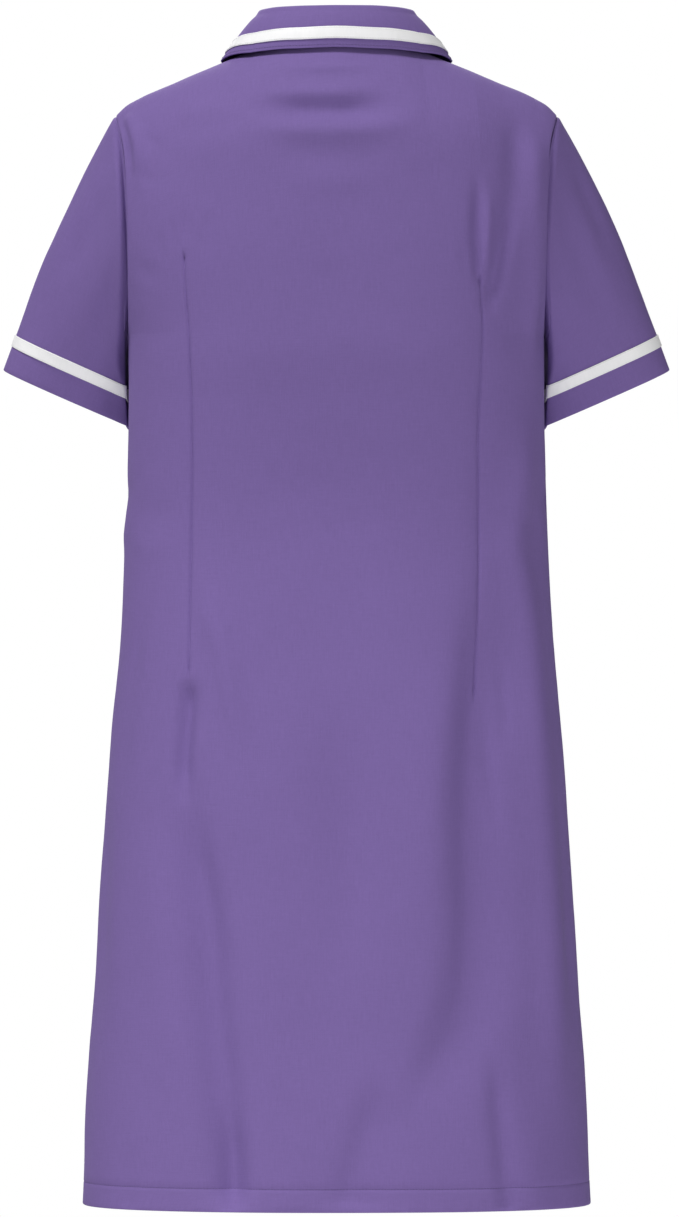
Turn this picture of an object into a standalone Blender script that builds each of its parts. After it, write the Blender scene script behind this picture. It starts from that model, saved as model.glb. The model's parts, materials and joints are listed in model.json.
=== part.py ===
"""A short-sleeved, collared uniform dress, filled out as if worn, with nobody in it.

Every cloth piece is a wall through sections worked out from the dress's own sizes. The
wearer faces -Y, the wearer's left is +X and +Z is up. The origin lies midway between the
shoulders, level with the place where the collar's edge meets them, and is where a wearer
holds the dress up. All sizes are in metres.
"""

import math
from typing import NamedTuple

import bmesh
import bpy
import numpy as np
from mathutils import Matrix, Vector
from mathutils.bvhtree import BVHTree

# Cloth and seams
CLOTH = 0.0015
TAPE = 0.0010
SEAM_GAP = 0.0003
SIDE_SETBACK = 0.0004
SHOULDER_SETBACK = 0.0005
ARMHOLE_SETBACK = 0.0006

# Heights
HEM_Z = -1.025
UNDERARM_Z = -0.245
SHOULDER_TIP_Z = -0.047

# Plan sizes
BODY_SQUARENESS = 2.4
BACK_SQUARENESS = 2.8
SHOULDER_SQUARENESS = 2.6
CHEST_SQUARENESS = 1.75
CHEST_HALF_WIDTH = 0.120
RIDGE_Y = 0.004
NECK_HALF_WIDTH = 0.074
NECK_BACK_REACH = 0.054
NECK_FRONT_REACH = 0.084
ARMHOLE_BACK_BULGE = 0.056
ARMHOLE_FRONT_BULGE = 0.052
LAST_YOKE_RISE = 0.998
MOST_YOKE_SHARE = 0.95
TOP_PULL_POWER = 3
FOLD_PLAN_WIDTH = 0.200
FOLD_PLAN_DEPTH = 0.120
FRONT_LAP = 0.015
LAP_LIFT = 0.0028
LAP_START = 0.045
LAP_RISE = 0.025
LAP_SAMPLES = 12

# Places across a panel, as a share of the way from its centre to its side
NECK_SHARE = 0.375
DART_SHARE = 0.62

# Rows and columns of the cloth walls
SKIRT_ROWS = 13
YOKE_ROWS = 11
CENTRE_COLUMNS = 6
SHOULDER_COLUMNS = 3
SIDE_COLUMNS = 5
SLEEVE_ROWS = 6
CREST_COLUMNS = 40
CREST_ROWS = 40

BACK = 1
FRONT = -1


class Level(NamedTuple):
    """One level section of the body of the dress."""

    z: float
    half_width: float
    back_depth: float
    front_depth: float


LEVELS = (
    Level(HEM_Z, 0.2285, 0.126, 0.124),
    Level(-0.900, 0.2218, 0.124, 0.120),
    Level(-0.760, 0.2135, 0.122, 0.115),
    Level(-0.620, 0.2037, 0.118, 0.109),
    Level(-0.510, 0.1945, 0.106, 0.104),
    Level(-0.410, 0.1895, 0.098, 0.106),
    Level(-0.310, 0.1870, 0.108, 0.130),
    Level(UNDERARM_Z, 0.1870, 0.116, 0.132),
)


class ArmholeRow(NamedTuple):
    """How far out the armhole's seam lies at a height."""

    z: float
    half_width: float


ARMHOLE = (
    ArmholeRow(UNDERARM_Z, 0.1870),
    ArmholeRow(-0.134, 0.1880),
    ArmholeRow(-0.105, 0.1897),
    ArmholeRow(-0.078, 0.1926),
    ArmholeRow(SHOULDER_TIP_Z, 0.1990),
)


class RidgeRow(NamedTuple):
    """The shoulder line's height at a distance from the centre, carried on across the neck."""

    x: float
    back_z: float
    front_z: float


# The first row repeats the third across the centre, so that the line is level there.
RIDGE = (
    RidgeRow(-0.040, 0.0270, 0.0180),
    RidgeRow(0.000, 0.0350, 0.0130),
    RidgeRow(0.040, 0.0270, 0.0180),
    RidgeRow(NECK_HALF_WIDTH, 0.0130, 0.0130),
    RidgeRow(0.105, 0.0, 0.0),
    RidgeRow(0.145, -0.0170, -0.0170),
    RidgeRow(0.178, -0.0312, -0.0312),
    RidgeRow(0.190, -0.0383, -0.0383),
    RidgeRow(0.199, SHOULDER_TIP_Z, SHOULDER_TIP_Z),
)


class DartRow(NamedTuple):
    """The distance of a fish-eye dart from the centre at a height."""

    z: float
    x: float


BACK_DART = (
    DartRow(-0.560, 0.1300),
    DartRow(-0.420, 0.1300),
    DartRow(-0.331, 0.1295),
    DartRow(-0.254, 0.1320),
    DartRow(-0.172, 0.1370),
)
FRONT_DART = (
    DartRow(-0.540, 0.0930),
    DartRow(-0.410, 0.0900),
    DartRow(-0.300, 0.0940),
)
DART_DEPTH = 0.0016
DART_REACH = 0.008
DART_TAPER = 0.060


class Fold(NamedTuple):
    """A soft trough in the skirt, from its upper end to its lower one."""

    side: int
    top_x: float
    top_z: float
    low_x: float
    low_z: float
    depth: float
    half_width: float


FOLDS = (
    Fold(BACK, -0.122, -0.560, -0.086, -0.900, 0.0040, 0.034),
    Fold(BACK, -0.142, -0.900, -0.152, HEM_Z, 0.0034, 0.026),
    Fold(BACK, 0.136, -0.570, 0.120, -0.880, 0.0036, 0.034),
    Fold(BACK, 0.124, -0.850, 0.083, HEM_Z, 0.0036, 0.028),
    Fold(FRONT, -0.100, -0.560, -0.122, -0.960, 0.0038, 0.034),
    Fold(FRONT, 0.104, -0.580, 0.110, -0.980, 0.0034, 0.032),
)
FOLD_END = 0.080

# Sleeves, given for the left one
CUFF_OUTER = Vector((0.3020, -0.048, -0.2740))
CUFF_INNER = Vector((0.1740, -0.060, -0.3300))
CUFF_HALF_DEPTH = 0.042
CUFF_BACK_DROP = 0.070
CUFF_SQUARENESS = 2.5
SLEEVE_FULLNESS = 0.0065
SLEEVE_FULLNESS_POWER = 0.8
SLEEVE_CLEAR_FROM = 0.25
SLEEVE_CLEARANCE = 0.0032
TAPE_RISE = 0.0235
SLEEVE_TAPE_WIDTH = 0.0108


class CollarRow(NamedTuple):
    """The collar's section at a turn about the neck, with its reaches out from the neck seam."""

    turn: float
    fold_out: float
    fold_z: float
    edge_out: float
    edge_spread: float
    edge_lift: float
    bow: float


# The first row repeats the third across the centre, as in the shoulder line's table.
COLLAR = (
    CollarRow(-30, 0.0012, 0.0480, 0.0210, 0.0, 0.0060, 0.0040),
    CollarRow(0, 0.0030, 0.0480, 0.0190, 0.0, 0.0058, 0.0040),
    CollarRow(30, 0.0012, 0.0480, 0.0210, 0.0, 0.0060, 0.0040),
    CollarRow(60, -0.0042, 0.0470, 0.0255, 0.0, 0.0046, 0.0030),
    CollarRow(90, -0.0084, 0.0448, 0.0297, 0.0, 0.0026, 0.0015),
    CollarRow(120, -0.0070, 0.0345, 0.0335, 0.0, 0.0040, 0.0022),
    CollarRow(150, -0.0034, 0.0030, 0.0300, 0.0120, 0.0046, 0.0034),
    CollarRow(178, -0.0020, -0.0280, 0.0200, 0.0360, 0.0040, 0.0040),
)
COLLAR_END_TURN = 177.0
COLLAR_COLUMNS = 17
COLLAR_END_CROWDING = 0.5
COLLAR_ROLL = 0.0026
ROLL_SHOULDER = 0.3
COLLAR_SEAT = 0.0006
COLLAR_FRONT_SEAT = 0.0014
COLLAR_LAP_TURN = 140.0
COLLAR_LAP_REACH = 20.0
COLLAR_TAPE_WIDTH = 0.0110
COLLAR_TAPE_RISE = 0.0078
TAPE_LIFT = 0.0005
DROP_FROM = 0.2

BUTTON_COUNT = 8
BUTTON_TOP_Z = -0.085
BUTTON_PITCH = 0.105
BUTTON_RADIUS = 0.0085
BUTTON_THICKNESS = 0.0026
BUTTON_SEAT = 0.0004
BUTTON_STEPS = 16


class RimRow(NamedTuple):
    """A point of a button's profile, as shares of its radius and its thickness."""

    out: float
    up: float


BUTTON_PROFILE = (
    RimRow(0.00, 0.62),
    RimRow(0.66, 0.62),
    RimRow(0.78, 1.00),
    RimRow(0.94, 0.90),
    RimRow(1.00, 0.50),
    RimRow(0.90, 0.00),
    RimRow(0.00, 0.00),
)


class Look(NamedTuple):
    """A plain colour and how rough the surface is."""

    colour: tuple
    roughness: float


LOOKS = {
    "cloth": Look((0.178, 0.120, 0.318, 1.0), 0.85),
    "tape": Look((0.90, 0.90, 0.91, 1.0), 0.60),
    "button": Look((0.150, 0.100, 0.275, 1.0), 0.35),
}
SHARP_DEGREES = 40


def column(rows, name):
    """One named column of a table, as numbers."""
    return np.array([getattr(row, name) for row in rows], float)


def smooth(at, xs, ys):
    """The height at `at` of a soft curve through the points xs, ys, with xs rising."""
    slopes = np.gradient(ys, xs)
    at = min(max(at, xs[0]), xs[-1])
    i = min(max(int(np.searchsorted(xs, at)) - 1, 0), len(xs) - 2)
    step = xs[i + 1] - xs[i]
    t = (at - xs[i]) / step
    start = ys[i] * (1 + 2 * t) + slopes[i] * step * t
    end = ys[i + 1] * (3 - 2 * t) - slopes[i + 1] * step * (1 - t)
    return start * (1 - t) ** 2 + end * t**2


def read(rows, at, key, name):
    """The value of one column of a table where another column has the value `at`."""
    return smooth(at, column(rows, key), column(rows, name))


def ease(t):
    """0 to 1 with level ends."""
    t = min(max(t, 0.0), 1.0)
    return t * t * (3 - 2 * t)


def depth_at(side, z):
    return read(LEVELS, z, "z", "back_depth" if side == BACK else "front_depth")


def squareness(side, x):
    """The power of the curve that a panel follows up to the shoulder line."""
    if side == BACK:
        return BACK_SQUARENESS
    share = ease(x / CHEST_HALF_WIDTH)
    return CHEST_SQUARENESS + (SHOULDER_SQUARENESS - CHEST_SQUARENESS) * share


def ridge_z(side, x):
    return read(RIDGE, abs(x), "x", "back_z" if side == BACK else "front_z")


def falling(rise, power):
    """The share of its depth that a panel keeps at a share of its rise."""
    return max(0.0, 1 - rise**power) ** (1 / power)


def neck_plan(side, share):
    """The plan position of the neck seam at a share of the way across a panel."""
    turn = math.radians(90 * share / NECK_SHARE)
    reach = NECK_BACK_REACH if side == BACK else NECK_FRONT_REACH
    return NECK_HALF_WIDTH * math.sin(turn), reach * math.cos(turn)


def top_x(share):
    """The distance from the centre of a panel's upper edge."""
    if share <= NECK_SHARE:
        return neck_plan(BACK, share)[0]
    along = (share - NECK_SHARE) / (1 - NECK_SHARE)
    return NECK_HALF_WIDTH + (ARMHOLE[-1].half_width - NECK_HALF_WIDTH) * along


def top_rise(side, share, depth):
    """Where a column of the panel is cut off by the neck, as a share of its rise."""
    if share >= NECK_SHARE:
        return 1.0
    x, reach = neck_plan(side, share)
    return falling(reach / depth, squareness(side, x))


def dart_x(side, z):
    return read(BACK_DART if side == BACK else FRONT_DART, z, "z", "x")


def yoke_section(side, rise):
    """The half width and the last turn of the curve that the armhole cuts short."""
    rise = min(rise, LAST_YOKE_RISE)
    bulge = ARMHOLE_BACK_BULGE if side == BACK else ARMHOLE_FRONT_BULGE
    z = UNDERARM_Z + (SHOULDER_TIP_Z - UNDERARM_Z) * rise
    edge_y = bulge * 2 * math.sqrt(rise * (1 - rise))
    keep = falling(rise, BACK_SQUARENESS if side == BACK else SHOULDER_SQUARENESS)
    share = min(edge_y / keep / depth_at(side, UNDERARM_Z), MOST_YOKE_SHARE)
    half_width = read(ARMHOLE, z, "z", "half_width")
    cut = (1 - share**BODY_SQUARENESS) ** (1 / BODY_SQUARENESS)
    return half_width / cut, math.asin(cut ** (BODY_SQUARENESS / 2))


def across(side, share, half_width, end_turn, z):
    """The distance from the centre of a place on a level section."""
    dart_turn = math.asin((dart_x(side, z) / half_width) ** (BODY_SQUARENESS / 2))
    if share < DART_SHARE:
        turn = dart_turn * share / DART_SHARE
    else:
        turn = dart_turn + (end_turn - dart_turn) * (share - DART_SHARE) / (1 - DART_SHARE)
    return half_width * math.sin(turn) ** (2 / BODY_SQUARENESS)


def trough(side, point):
    """How far the darts and the soft folds draw the cloth in at a point."""
    z = point.z
    rows = BACK_DART if side == BACK else FRONT_DART
    near = max(0.0, 1 - abs(abs(point.x) - dart_x(side, z)) / DART_REACH)
    inside = min(z - rows[0].z, rows[-1].z - z) / DART_TAPER
    drawn = DART_DEPTH * near * ease(inside)
    for fold in FOLDS:
        if fold.side != side or not fold.low_z - FOLD_END < z < fold.top_z + FOLD_END:
            continue
        along = (fold.top_z - z) / (fold.top_z - fold.low_z)
        middle = fold.top_x + (fold.low_x - fold.top_x) * along
        spread = (point.x - middle) / fold.half_width
        ends = ease((fold.top_z + FOLD_END - z) / (2 * FOLD_END))
        if fold.low_z > HEM_Z:
            ends *= ease((z - fold.low_z + FOLD_END) / (2 * FOLD_END))
        drawn += fold.depth * ends * math.exp(-spread * spread)
    return drawn


def torso(side, share, climb):
    """A point of the outer face: climb is 0 at the hem, 1 at the underarm and 2 at the top.

    The share runs from 0 at the centre to 1 at the side, and is negative past the centre.
    """
    hand = -1 if share < 0 else 1
    share = abs(share)
    power = BODY_SQUARENESS
    if climb <= 1:
        z = HEM_Z + (UNDERARM_Z - HEM_Z) * climb
        half_width = read(LEVELS, z, "z", "half_width")
        depth = depth_at(side, z)
        x = across(side, share, half_width, math.pi / 2, z)
        y = depth * max(0.0, 1 - (x / half_width) ** power) ** (1 / power)
        point = Vector((hand * x, side * y, z))
    else:
        row = climb - 1
        depth = depth_at(side, UNDERARM_Z)
        half_width, end_turn = yoke_section(side, row)
        level = UNDERARM_Z + (SHOULDER_TIP_Z - UNDERARM_Z) * row
        x = across(side, share, half_width, end_turn, level)
        last_width, last_turn = yoke_section(side, 1.0)
        last_x = across(side, share, last_width, last_turn, SHOULDER_TIP_Z)
        round_y = depth * max(0.0, 1 - (x / half_width) ** power) ** (1 / power)
        x += (top_x(share) - last_x) * row**TOP_PULL_POWER
        rise = row * top_rise(side, share, round_y)
        y = RIDGE_Y * rise + side * round_y * falling(rise, squareness(side, x))
        z = UNDERARM_Z + (ridge_z(side, x) - UNDERARM_Z) * rise
        point = Vector((hand * x, y, z))
    lean = Vector((
        hand * (abs(point.x) / half_width) ** (power - 1) / half_width,
        side * (abs(point.y) / depth) ** (power - 1) / depth,
        0.0,
    ))
    if lean.length > 0:
        point -= lean.normalized() * trough(side, point)
    return point


def climbs():
    """The rows of a panel, closer together at both ends of the armhole."""
    skirt = [i / SKIRT_ROWS for i in range(SKIRT_ROWS)]
    yoke = [1 + armhole_rise(i / YOKE_ROWS) for i in range(YOKE_ROWS + 1)]
    return skirt + yoke


def armhole_rise(t):
    """0 to 1 up the armhole, in short steps at the underarm and at the shoulder."""
    return (1 - math.cos(math.pi * t)) / 2


def stations(start):
    """The places of the columns, from a starting share to the side."""
    legs = (
        (start, NECK_SHARE, CENTRE_COLUMNS),
        (NECK_SHARE, DART_SHARE, SHOULDER_COLUMNS),
        (DART_SHARE, 1.0, SIDE_COLUMNS),
    )
    shares = [a + (b - a) * i / n for a, b, n in legs for i in range(n)]
    return shares + [1.0]


def lap_share(climb):
    """The share at which a front ends past its centre."""
    shares = np.linspace(0, NECK_SHARE, LAP_SAMPLES)
    reach = [torso(FRONT, share, climb).x for share in shares]
    return -float(np.interp(FRONT_LAP, reach, shares))


def set_back(edge, inner, distance):
    """Draws an edge's points back along the surface, to leave a seam's gap."""
    return [e + (i - e).normalized() * distance for e, i in zip(edge, inner)]


def trimmed(rows):
    """A half panel's rows with the side, armhole and shoulder edges drawn back."""
    for i, row in enumerate(rows):
        gap = SIDE_SETBACK if i <= SKIRT_ROWS else ARMHOLE_SETBACK
        row[-1] = set_back([row[-1]], [row[-2]], gap)[0]
    rows[-1] = set_back(rows[-1], rows[-2], SHOULDER_SETBACK)
    return rows


def mirrored(point):
    return Vector((-point.x, point.y, point.z))


def back_rows():
    shares = stations(0.0)
    left = trimmed([[torso(BACK, s, c) for s in shares] for c in climbs()])
    right = trimmed([[other_side(BACK, s, c) for s in shares] for c in climbs()])
    return [b[:0:-1] + a for a, b in zip(left, right)]


def other_side(side, share, climb):
    """A point of the wearer's right half, with the folds of that half."""
    point = torso(side, share, climb)
    plain = point.copy()
    plain.x = -plain.x
    shift = trough(side, plain) - trough(side, point)
    outward = Vector((plain.x / FOLD_PLAN_WIDTH**2, plain.y / FOLD_PLAN_DEPTH**2, 0))
    return plain - outward.normalized() * shift


def front_rows(hand):
    """The rows of a front, with hand 1 for the wearer's left and -1 for the right."""
    rows = []
    for climb in climbs():
        shares = stations(lap_share(climb))
        make = torso if hand > 0 else other_side
        rows.append([make(FRONT, share, climb) for share in shares])
    return trimmed(rows)


def lap_lift(point):
    """How far the right front stands out at a point, to lie on the left front."""
    return LAP_LIFT * ease((point.x + LAP_START) / LAP_RISE)


def clear_of_torso(point, gap):
    """The point, moved out if need be to stay clear of the body of the dress."""
    if point.z >= UNDERARM_Z:
        level = min(point.z, SHOULDER_TIP_Z)
        least = read(ARMHOLE, level, "z", "half_width") + gap
        return Vector((max(point.x, least), point.y, point.z))
    side = BACK if point.y > 0 else FRONT
    half_width = read(LEVELS, point.z, "z", "half_width") + gap
    depth = depth_at(side, point.z) + gap
    power = BODY_SQUARENESS
    reach = (point.x / half_width) ** power + (abs(point.y) / depth) ** power
    grow = max(1.0, reach ** (-1 / power))
    return Vector((point.x * grow, point.y * grow, point.z))


def squared(value):
    """A sine or cosine for a cuff that is flatter than an ellipse."""
    return math.copysign(abs(value) ** (2 / CUFF_SQUARENESS), value)


def sleeve_line(turn):
    """The armhole end and the cuff end of the sleeve's line at a turn of 0 to 1, from its top."""
    side = BACK if turn <= 0.5 else FRONT
    rise = (1 + math.cos(2 * math.pi * turn)) / 2
    start = torso(side, 1.0, 1 + rise) + Vector((SEAM_GAP, 0, 0))
    middle = (CUFF_OUTER + CUFF_INNER) / 2
    out = (CUFF_OUTER - CUFF_INNER) / 2
    back = Vector((0, CUFF_HALF_DEPTH, -CUFF_HALF_DEPTH * CUFF_BACK_DROP))
    angle = 2 * math.pi * turn
    across = squared(math.cos(angle))
    return start, middle + out * across + back * squared(math.sin(angle))


def sleeve_point(turn, down):
    """A point of the left sleeve's outer face, with down 0 at the armhole and 1 at the cuff."""
    start, end = sleeve_line(turn)
    point = start.lerp(end, down)
    out = (CUFF_OUTER - CUFF_INNER).normalized()
    full = SLEEVE_FULLNESS * math.sin(math.pi * down**SLEEVE_FULLNESS_POWER)
    point += out * full * max(0.0, math.cos(2 * math.pi * turn))
    gap = SEAM_GAP + (SLEEVE_CLEARANCE - SEAM_GAP) * ease(down / SLEEVE_CLEAR_FROM)
    return clear_of_torso(point, gap)


def down_at(turn, rise):
    """The place down a sleeve that lies a distance above the cuff."""
    start, end = sleeve_line(turn)
    return 1 - rise / (end - start).length


def sleeve_rows(rises, upper_rows):
    """Rings of a sleeve, from the cuff up: at the given rises, then evenly to the armhole."""
    turns = [i / (2 * YOKE_ROWS) for i in range(2 * YOKE_ROWS)]
    rows = [[sleeve_point(t, down_at(t, rise)) for t in turns] for rise in rises]
    for i in range(1, upper_rows + 1):
        share = 1 - i / upper_rows
        rows.append([sleeve_point(t, down_at(t, rises[-1]) * share) for t in turns])
    return rows


def neck_point(turn):
    """The neck seam at a turn in degrees, from 0 at the centre back to 180 at the front."""
    side = BACK if turn <= 90 else FRONT
    share = NECK_SHARE * (turn if side == BACK else 180 - turn) / 90
    return torso(side, share, 2.0)


def collar_section(turn, body):
    """The collar's mid line at a turn: up the stand, over the roll and down the fall."""
    around = abs(turn)
    out = Vector((math.sin(math.radians(around)), math.cos(math.radians(around)), 0))
    seat = COLLAR_SEAT + COLLAR_FRONT_SEAT * ease(around / 90 - 1)
    seat += LAP_LIFT * ease((around - COLLAR_LAP_TURN) / COLLAR_LAP_REACH)
    seam = neck_point(around) + Vector((0, 0, seat))
    fold = seam + out * read(COLLAR, around, "turn", "fold_out")
    fold.z = read(COLLAR, around, "turn", "fold_z")
    edge = seam + out * read(COLLAR, around, "turn", "edge_out")
    edge.x += read(COLLAR, around, "turn", "edge_spread")
    edge.z = 0.0
    edge.z = drop(body, edge) + read(COLLAR, around, "turn", "edge_lift")
    roll = COLLAR_ROLL
    inner = fold - Vector((0, 0, roll))
    outer = fold + out * 2 * roll - Vector((0, 0, roll))
    points = [seam.lerp(inner, t) for t in (0.0, 0.5, 1.0)]
    shoulder = roll * ROLL_SHOULDER
    points.append(fold + out * shoulder - Vector((0, 0, shoulder)))
    points.append(fold + out * roll)
    points.append(fold + out * (2 * roll - shoulder) - Vector((0, 0, shoulder)))
    length = (edge - outer).length
    tape_low = 1 - COLLAR_TAPE_RISE / length
    tape_top = 1 - (COLLAR_TAPE_RISE + COLLAR_TAPE_WIDTH) / length
    fall = (0.0, tape_top / 2, tape_top, tape_low, 1.0)
    bow = read(COLLAR, around, "turn", "bow")
    proud = (out + Vector((0, 0, 1))).normalized() * bow
    points += [outer.lerp(edge, t) + proud * math.sin(math.pi * t) for t in fall]
    if turn < 0:
        points = [mirrored(p) for p in points]
    return points


def collar_turns():
    """The turns of the collar's sections, closer together towards its front ends."""
    n = COLLAR_COLUMNS
    crowding = COLLAR_END_CROWDING
    turns = []
    for i in range(-n, n + 1):
        even = i / n
        crowded = math.sin(math.pi * even / 2)
        turns.append(COLLAR_END_TURN * (even + (crowded - even) * crowding))
    return turns


def sheet_mesh(name, rows, closed=False):
    """An open grid of faces through rows of points."""
    mesh = bpy.data.meshes.new(name)
    model = bmesh.new()
    verts = [[model.verts.new(point) for point in row] for row in rows]
    count = len(rows[0])
    for low, high in zip(verts, verts[1:]):
        for j in range(count if closed else count - 1):
            k = (j + 1) % count
            model.faces.new((low[j], low[k], high[k], high[j]))
    model.normal_update()
    model.to_mesh(mesh)
    model.free()
    return mesh


def finish(name, mesh, kind, collection):
    """An object in the collection, with its own material."""
    obj = bpy.data.objects.new(name, mesh)
    material = bpy.data.materials.new(name)
    material.use_nodes = True
    shader = material.node_tree.nodes["Principled BSDF"]
    shader.inputs["Base Color"].default_value = LOOKS[kind].colour
    shader.inputs["Roughness"].default_value = LOOKS[kind].roughness
    shader.inputs["Metallic"].default_value = 0.0
    mesh.materials.append(material)
    mesh.shade_smooth()
    mesh.set_sharp_from_angle(angle=math.radians(SHARP_DEGREES))
    collection.objects.link(obj)
    return obj


def cloth(name, rows, collection, closed=False, kind="cloth", thickness=CLOTH, offset=-1.0):
    """A wall of cloth: the sheet's faces point out, and the wall grows to one side of them."""
    obj = finish(name, sheet_mesh(name, rows, closed), kind, collection)
    wall = obj.modifiers.new("Wall", "SOLIDIFY")
    wall.thickness = thickness
    wall.offset = offset
    wall.use_even_offset = True
    wall.use_quality_normals = True
    return obj


def moved_out(rows, distance, closed=False):
    """Rows moved out along the sheet's own normals, by a number or by a function of the point."""
    mesh = sheet_mesh("scratch", rows, closed)
    normals = [v.normal.copy() for v in mesh.vertices]
    bpy.data.meshes.remove(mesh)
    count = len(rows[0])
    lift = distance if callable(distance) else lambda point: distance
    return [
        [point + normals[i * count + j] * lift(point) for j, point in enumerate(row)]
        for i, row in enumerate(rows)
    ]


def reversed_rows(rows):
    return [row[::-1] for row in rows]


def crest(side):
    """Fine rows of the upper body about the neck, for the collar to lie along."""
    shares = np.linspace(-1, 1, 2 * CREST_COLUMNS + 1)
    rises = [armhole_rise((1 + i / CREST_ROWS) / 2) for i in range(CREST_ROWS + 1)]
    return [[torso(side, share, 1 + rise) for share in shares] for rise in rises]


def crest_lift(point):
    """How far the front's outer face stands out over the chest, lap included."""
    return lap_lift(point) if point.x < FRONT_LAP else 0.0


def tree_of(*panels):
    """A search tree over the faces of panels, each given as rows of points."""
    points = []
    faces = []
    for rows in panels:
        start = len(points)
        count = len(rows[0])
        points += [point for row in rows for point in row]
        for i in range(len(rows) - 1):
            for j in range(count - 1):
                corner = start + i * count + j
                faces.append((corner, corner + 1, corner + count + 1, corner + count))
    return BVHTree.FromPolygons(points, faces)


def drop(body, place):
    """The height of the body straight below or above a place beside the neck."""
    hit = body.ray_cast(Vector((place.x, place.y, DROP_FROM)), Vector((0, 0, -1)))[0]
    return hit.z


def build_panels(collection):
    """The back and the two fronts; returns the right front's rows."""
    back = reversed_rows(back_rows())
    left = front_rows(1)
    right = moved_out(reversed_rows(front_rows(-1)), lap_lift)
    cloth("back", back, collection)
    cloth("front_left", left, collection)
    cloth("front_right", right, collection)
    return right


def build_sleeves(collection):
    tape_rises = (TAPE_RISE, TAPE_RISE + SLEEVE_TAPE_WIDTH)
    sleeve = sleeve_rows((0.0,) + tape_rises, SLEEVE_ROWS)
    band = sleeve_rows(tape_rises, 0)
    for side, hand in (("left", 1), ("right", -1)):
        rows = sleeve if hand > 0 else [[mirrored(p) for p in row] for row in sleeve]
        tape = band if hand > 0 else [[mirrored(p) for p in row] for row in band]
        if hand < 0:
            rows = reversed_rows(rows)
            tape = reversed_rows(tape)
        cloth(f"sleeve_{side}", rows, collection, closed=True)
        tape = moved_out(tape, TAPE_LIFT, closed=True)
        cloth(f"sleeve_tape_{side}", tape, collection, True, "tape", TAPE, 1.0)


def build_collar(collection, body):
    sections = reversed_rows([collar_section(turn, body) for turn in collar_turns()])
    cloth("collar", sections, collection, offset=0.0)
    band = [section[1:3] for section in sections]
    tape = moved_out(band, CLOTH / 2 + TAPE_LIFT)
    cloth("collar_tape", tape, collection, False, "tape", TAPE, 1.0)


def build_buttons(collection, front):
    """Turned discs with a raised rim, seated on the right front along the centre line."""
    profile = [(BUTTON_RADIUS * row.out, BUTTON_THICKNESS * row.up) for row in BUTTON_PROFILE]
    for number in range(1, BUTTON_COUNT + 1):
        z = BUTTON_TOP_Z - BUTTON_PITCH * (number - 1)
        seat, normal = button_seat(front, z)
        mesh = turned(f"button_{number}", profile)
        frame = normal.to_track_quat("Z", "Y").to_matrix().to_4x4()
        place = Matrix.Translation(seat + normal * BUTTON_SEAT)
        obj = finish(f"button_{number}", mesh, "button", collection)
        obj.matrix_world = place @ frame


def turned(name, profile):
    """A solid of revolution about Z from a profile that starts and ends on the axis."""
    model = bmesh.new()
    verts = [model.verts.new((x, 0, z)) for x, z in profile]
    edges = [model.edges.new(pair) for pair in zip(verts, verts[1:])]
    bmesh.ops.spin(
        model,
        geom=verts + edges,
        cent=(0, 0, 0),
        axis=(0, 0, 1),
        angle=2 * math.pi,
        steps=BUTTON_STEPS,
    )
    bmesh.ops.remove_doubles(model, verts=model.verts, dist=1e-6)
    bmesh.ops.recalc_face_normals(model, faces=model.faces)
    mesh = bpy.data.meshes.new(name)
    model.to_mesh(mesh)
    model.free()
    return mesh


def button_seat(front, z):
    """The place and the outward direction at which a flat button clears the front."""
    r = BUTTON_RADIUS
    rim = ((0, -r), (0, r), (-r, 0), (r, 0), (0, 0))
    starts = [Vector((x, -1, z + rise)) for x, rise in rim]
    hits = [front.ray_cast(start, Vector((0, 1, 0)))[0] for start in starts]
    low, high, middle = hits[0], hits[1], hits[-1]
    normal = Vector((1, 0, 0)).cross(high - low).normalized()
    proud = max(normal.dot(hit - middle) for hit in hits)
    return middle + normal * proud, normal


def main():
    for obj in list(bpy.data.objects):
        bpy.data.objects.remove(obj, do_unlink=True)
    collection = bpy.data.collections.new("uniform_dress")
    bpy.context.scene.collection.children.link(collection)
    right = build_panels(collection)
    build_sleeves(collection)
    chest = moved_out(crest(FRONT), crest_lift)
    build_collar(collection, tree_of(crest(BACK), chest))
    build_buttons(collection, tree_of(right))


main()
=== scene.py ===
"""A short-sleeved, collared uniform dress, filled out as if worn, with nobody in it.

Each cloth panel is a thin shell on a smooth form, with its creases laid on, turned
hems, flat tapes, stitches and buttons. The wearer faces -Y, the wearer's left is +X and +Z
is up. All sizes are in metres.
"""

import json
import logging
import math
from collections.abc import Sequence
from dataclasses import dataclass, field
from enum import Enum
from typing import Any, NamedTuple

import bmesh
import bpy
import numpy as np
from mathutils import Matrix, Vector, noise
from mathutils.bvhtree import BVHTree

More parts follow.
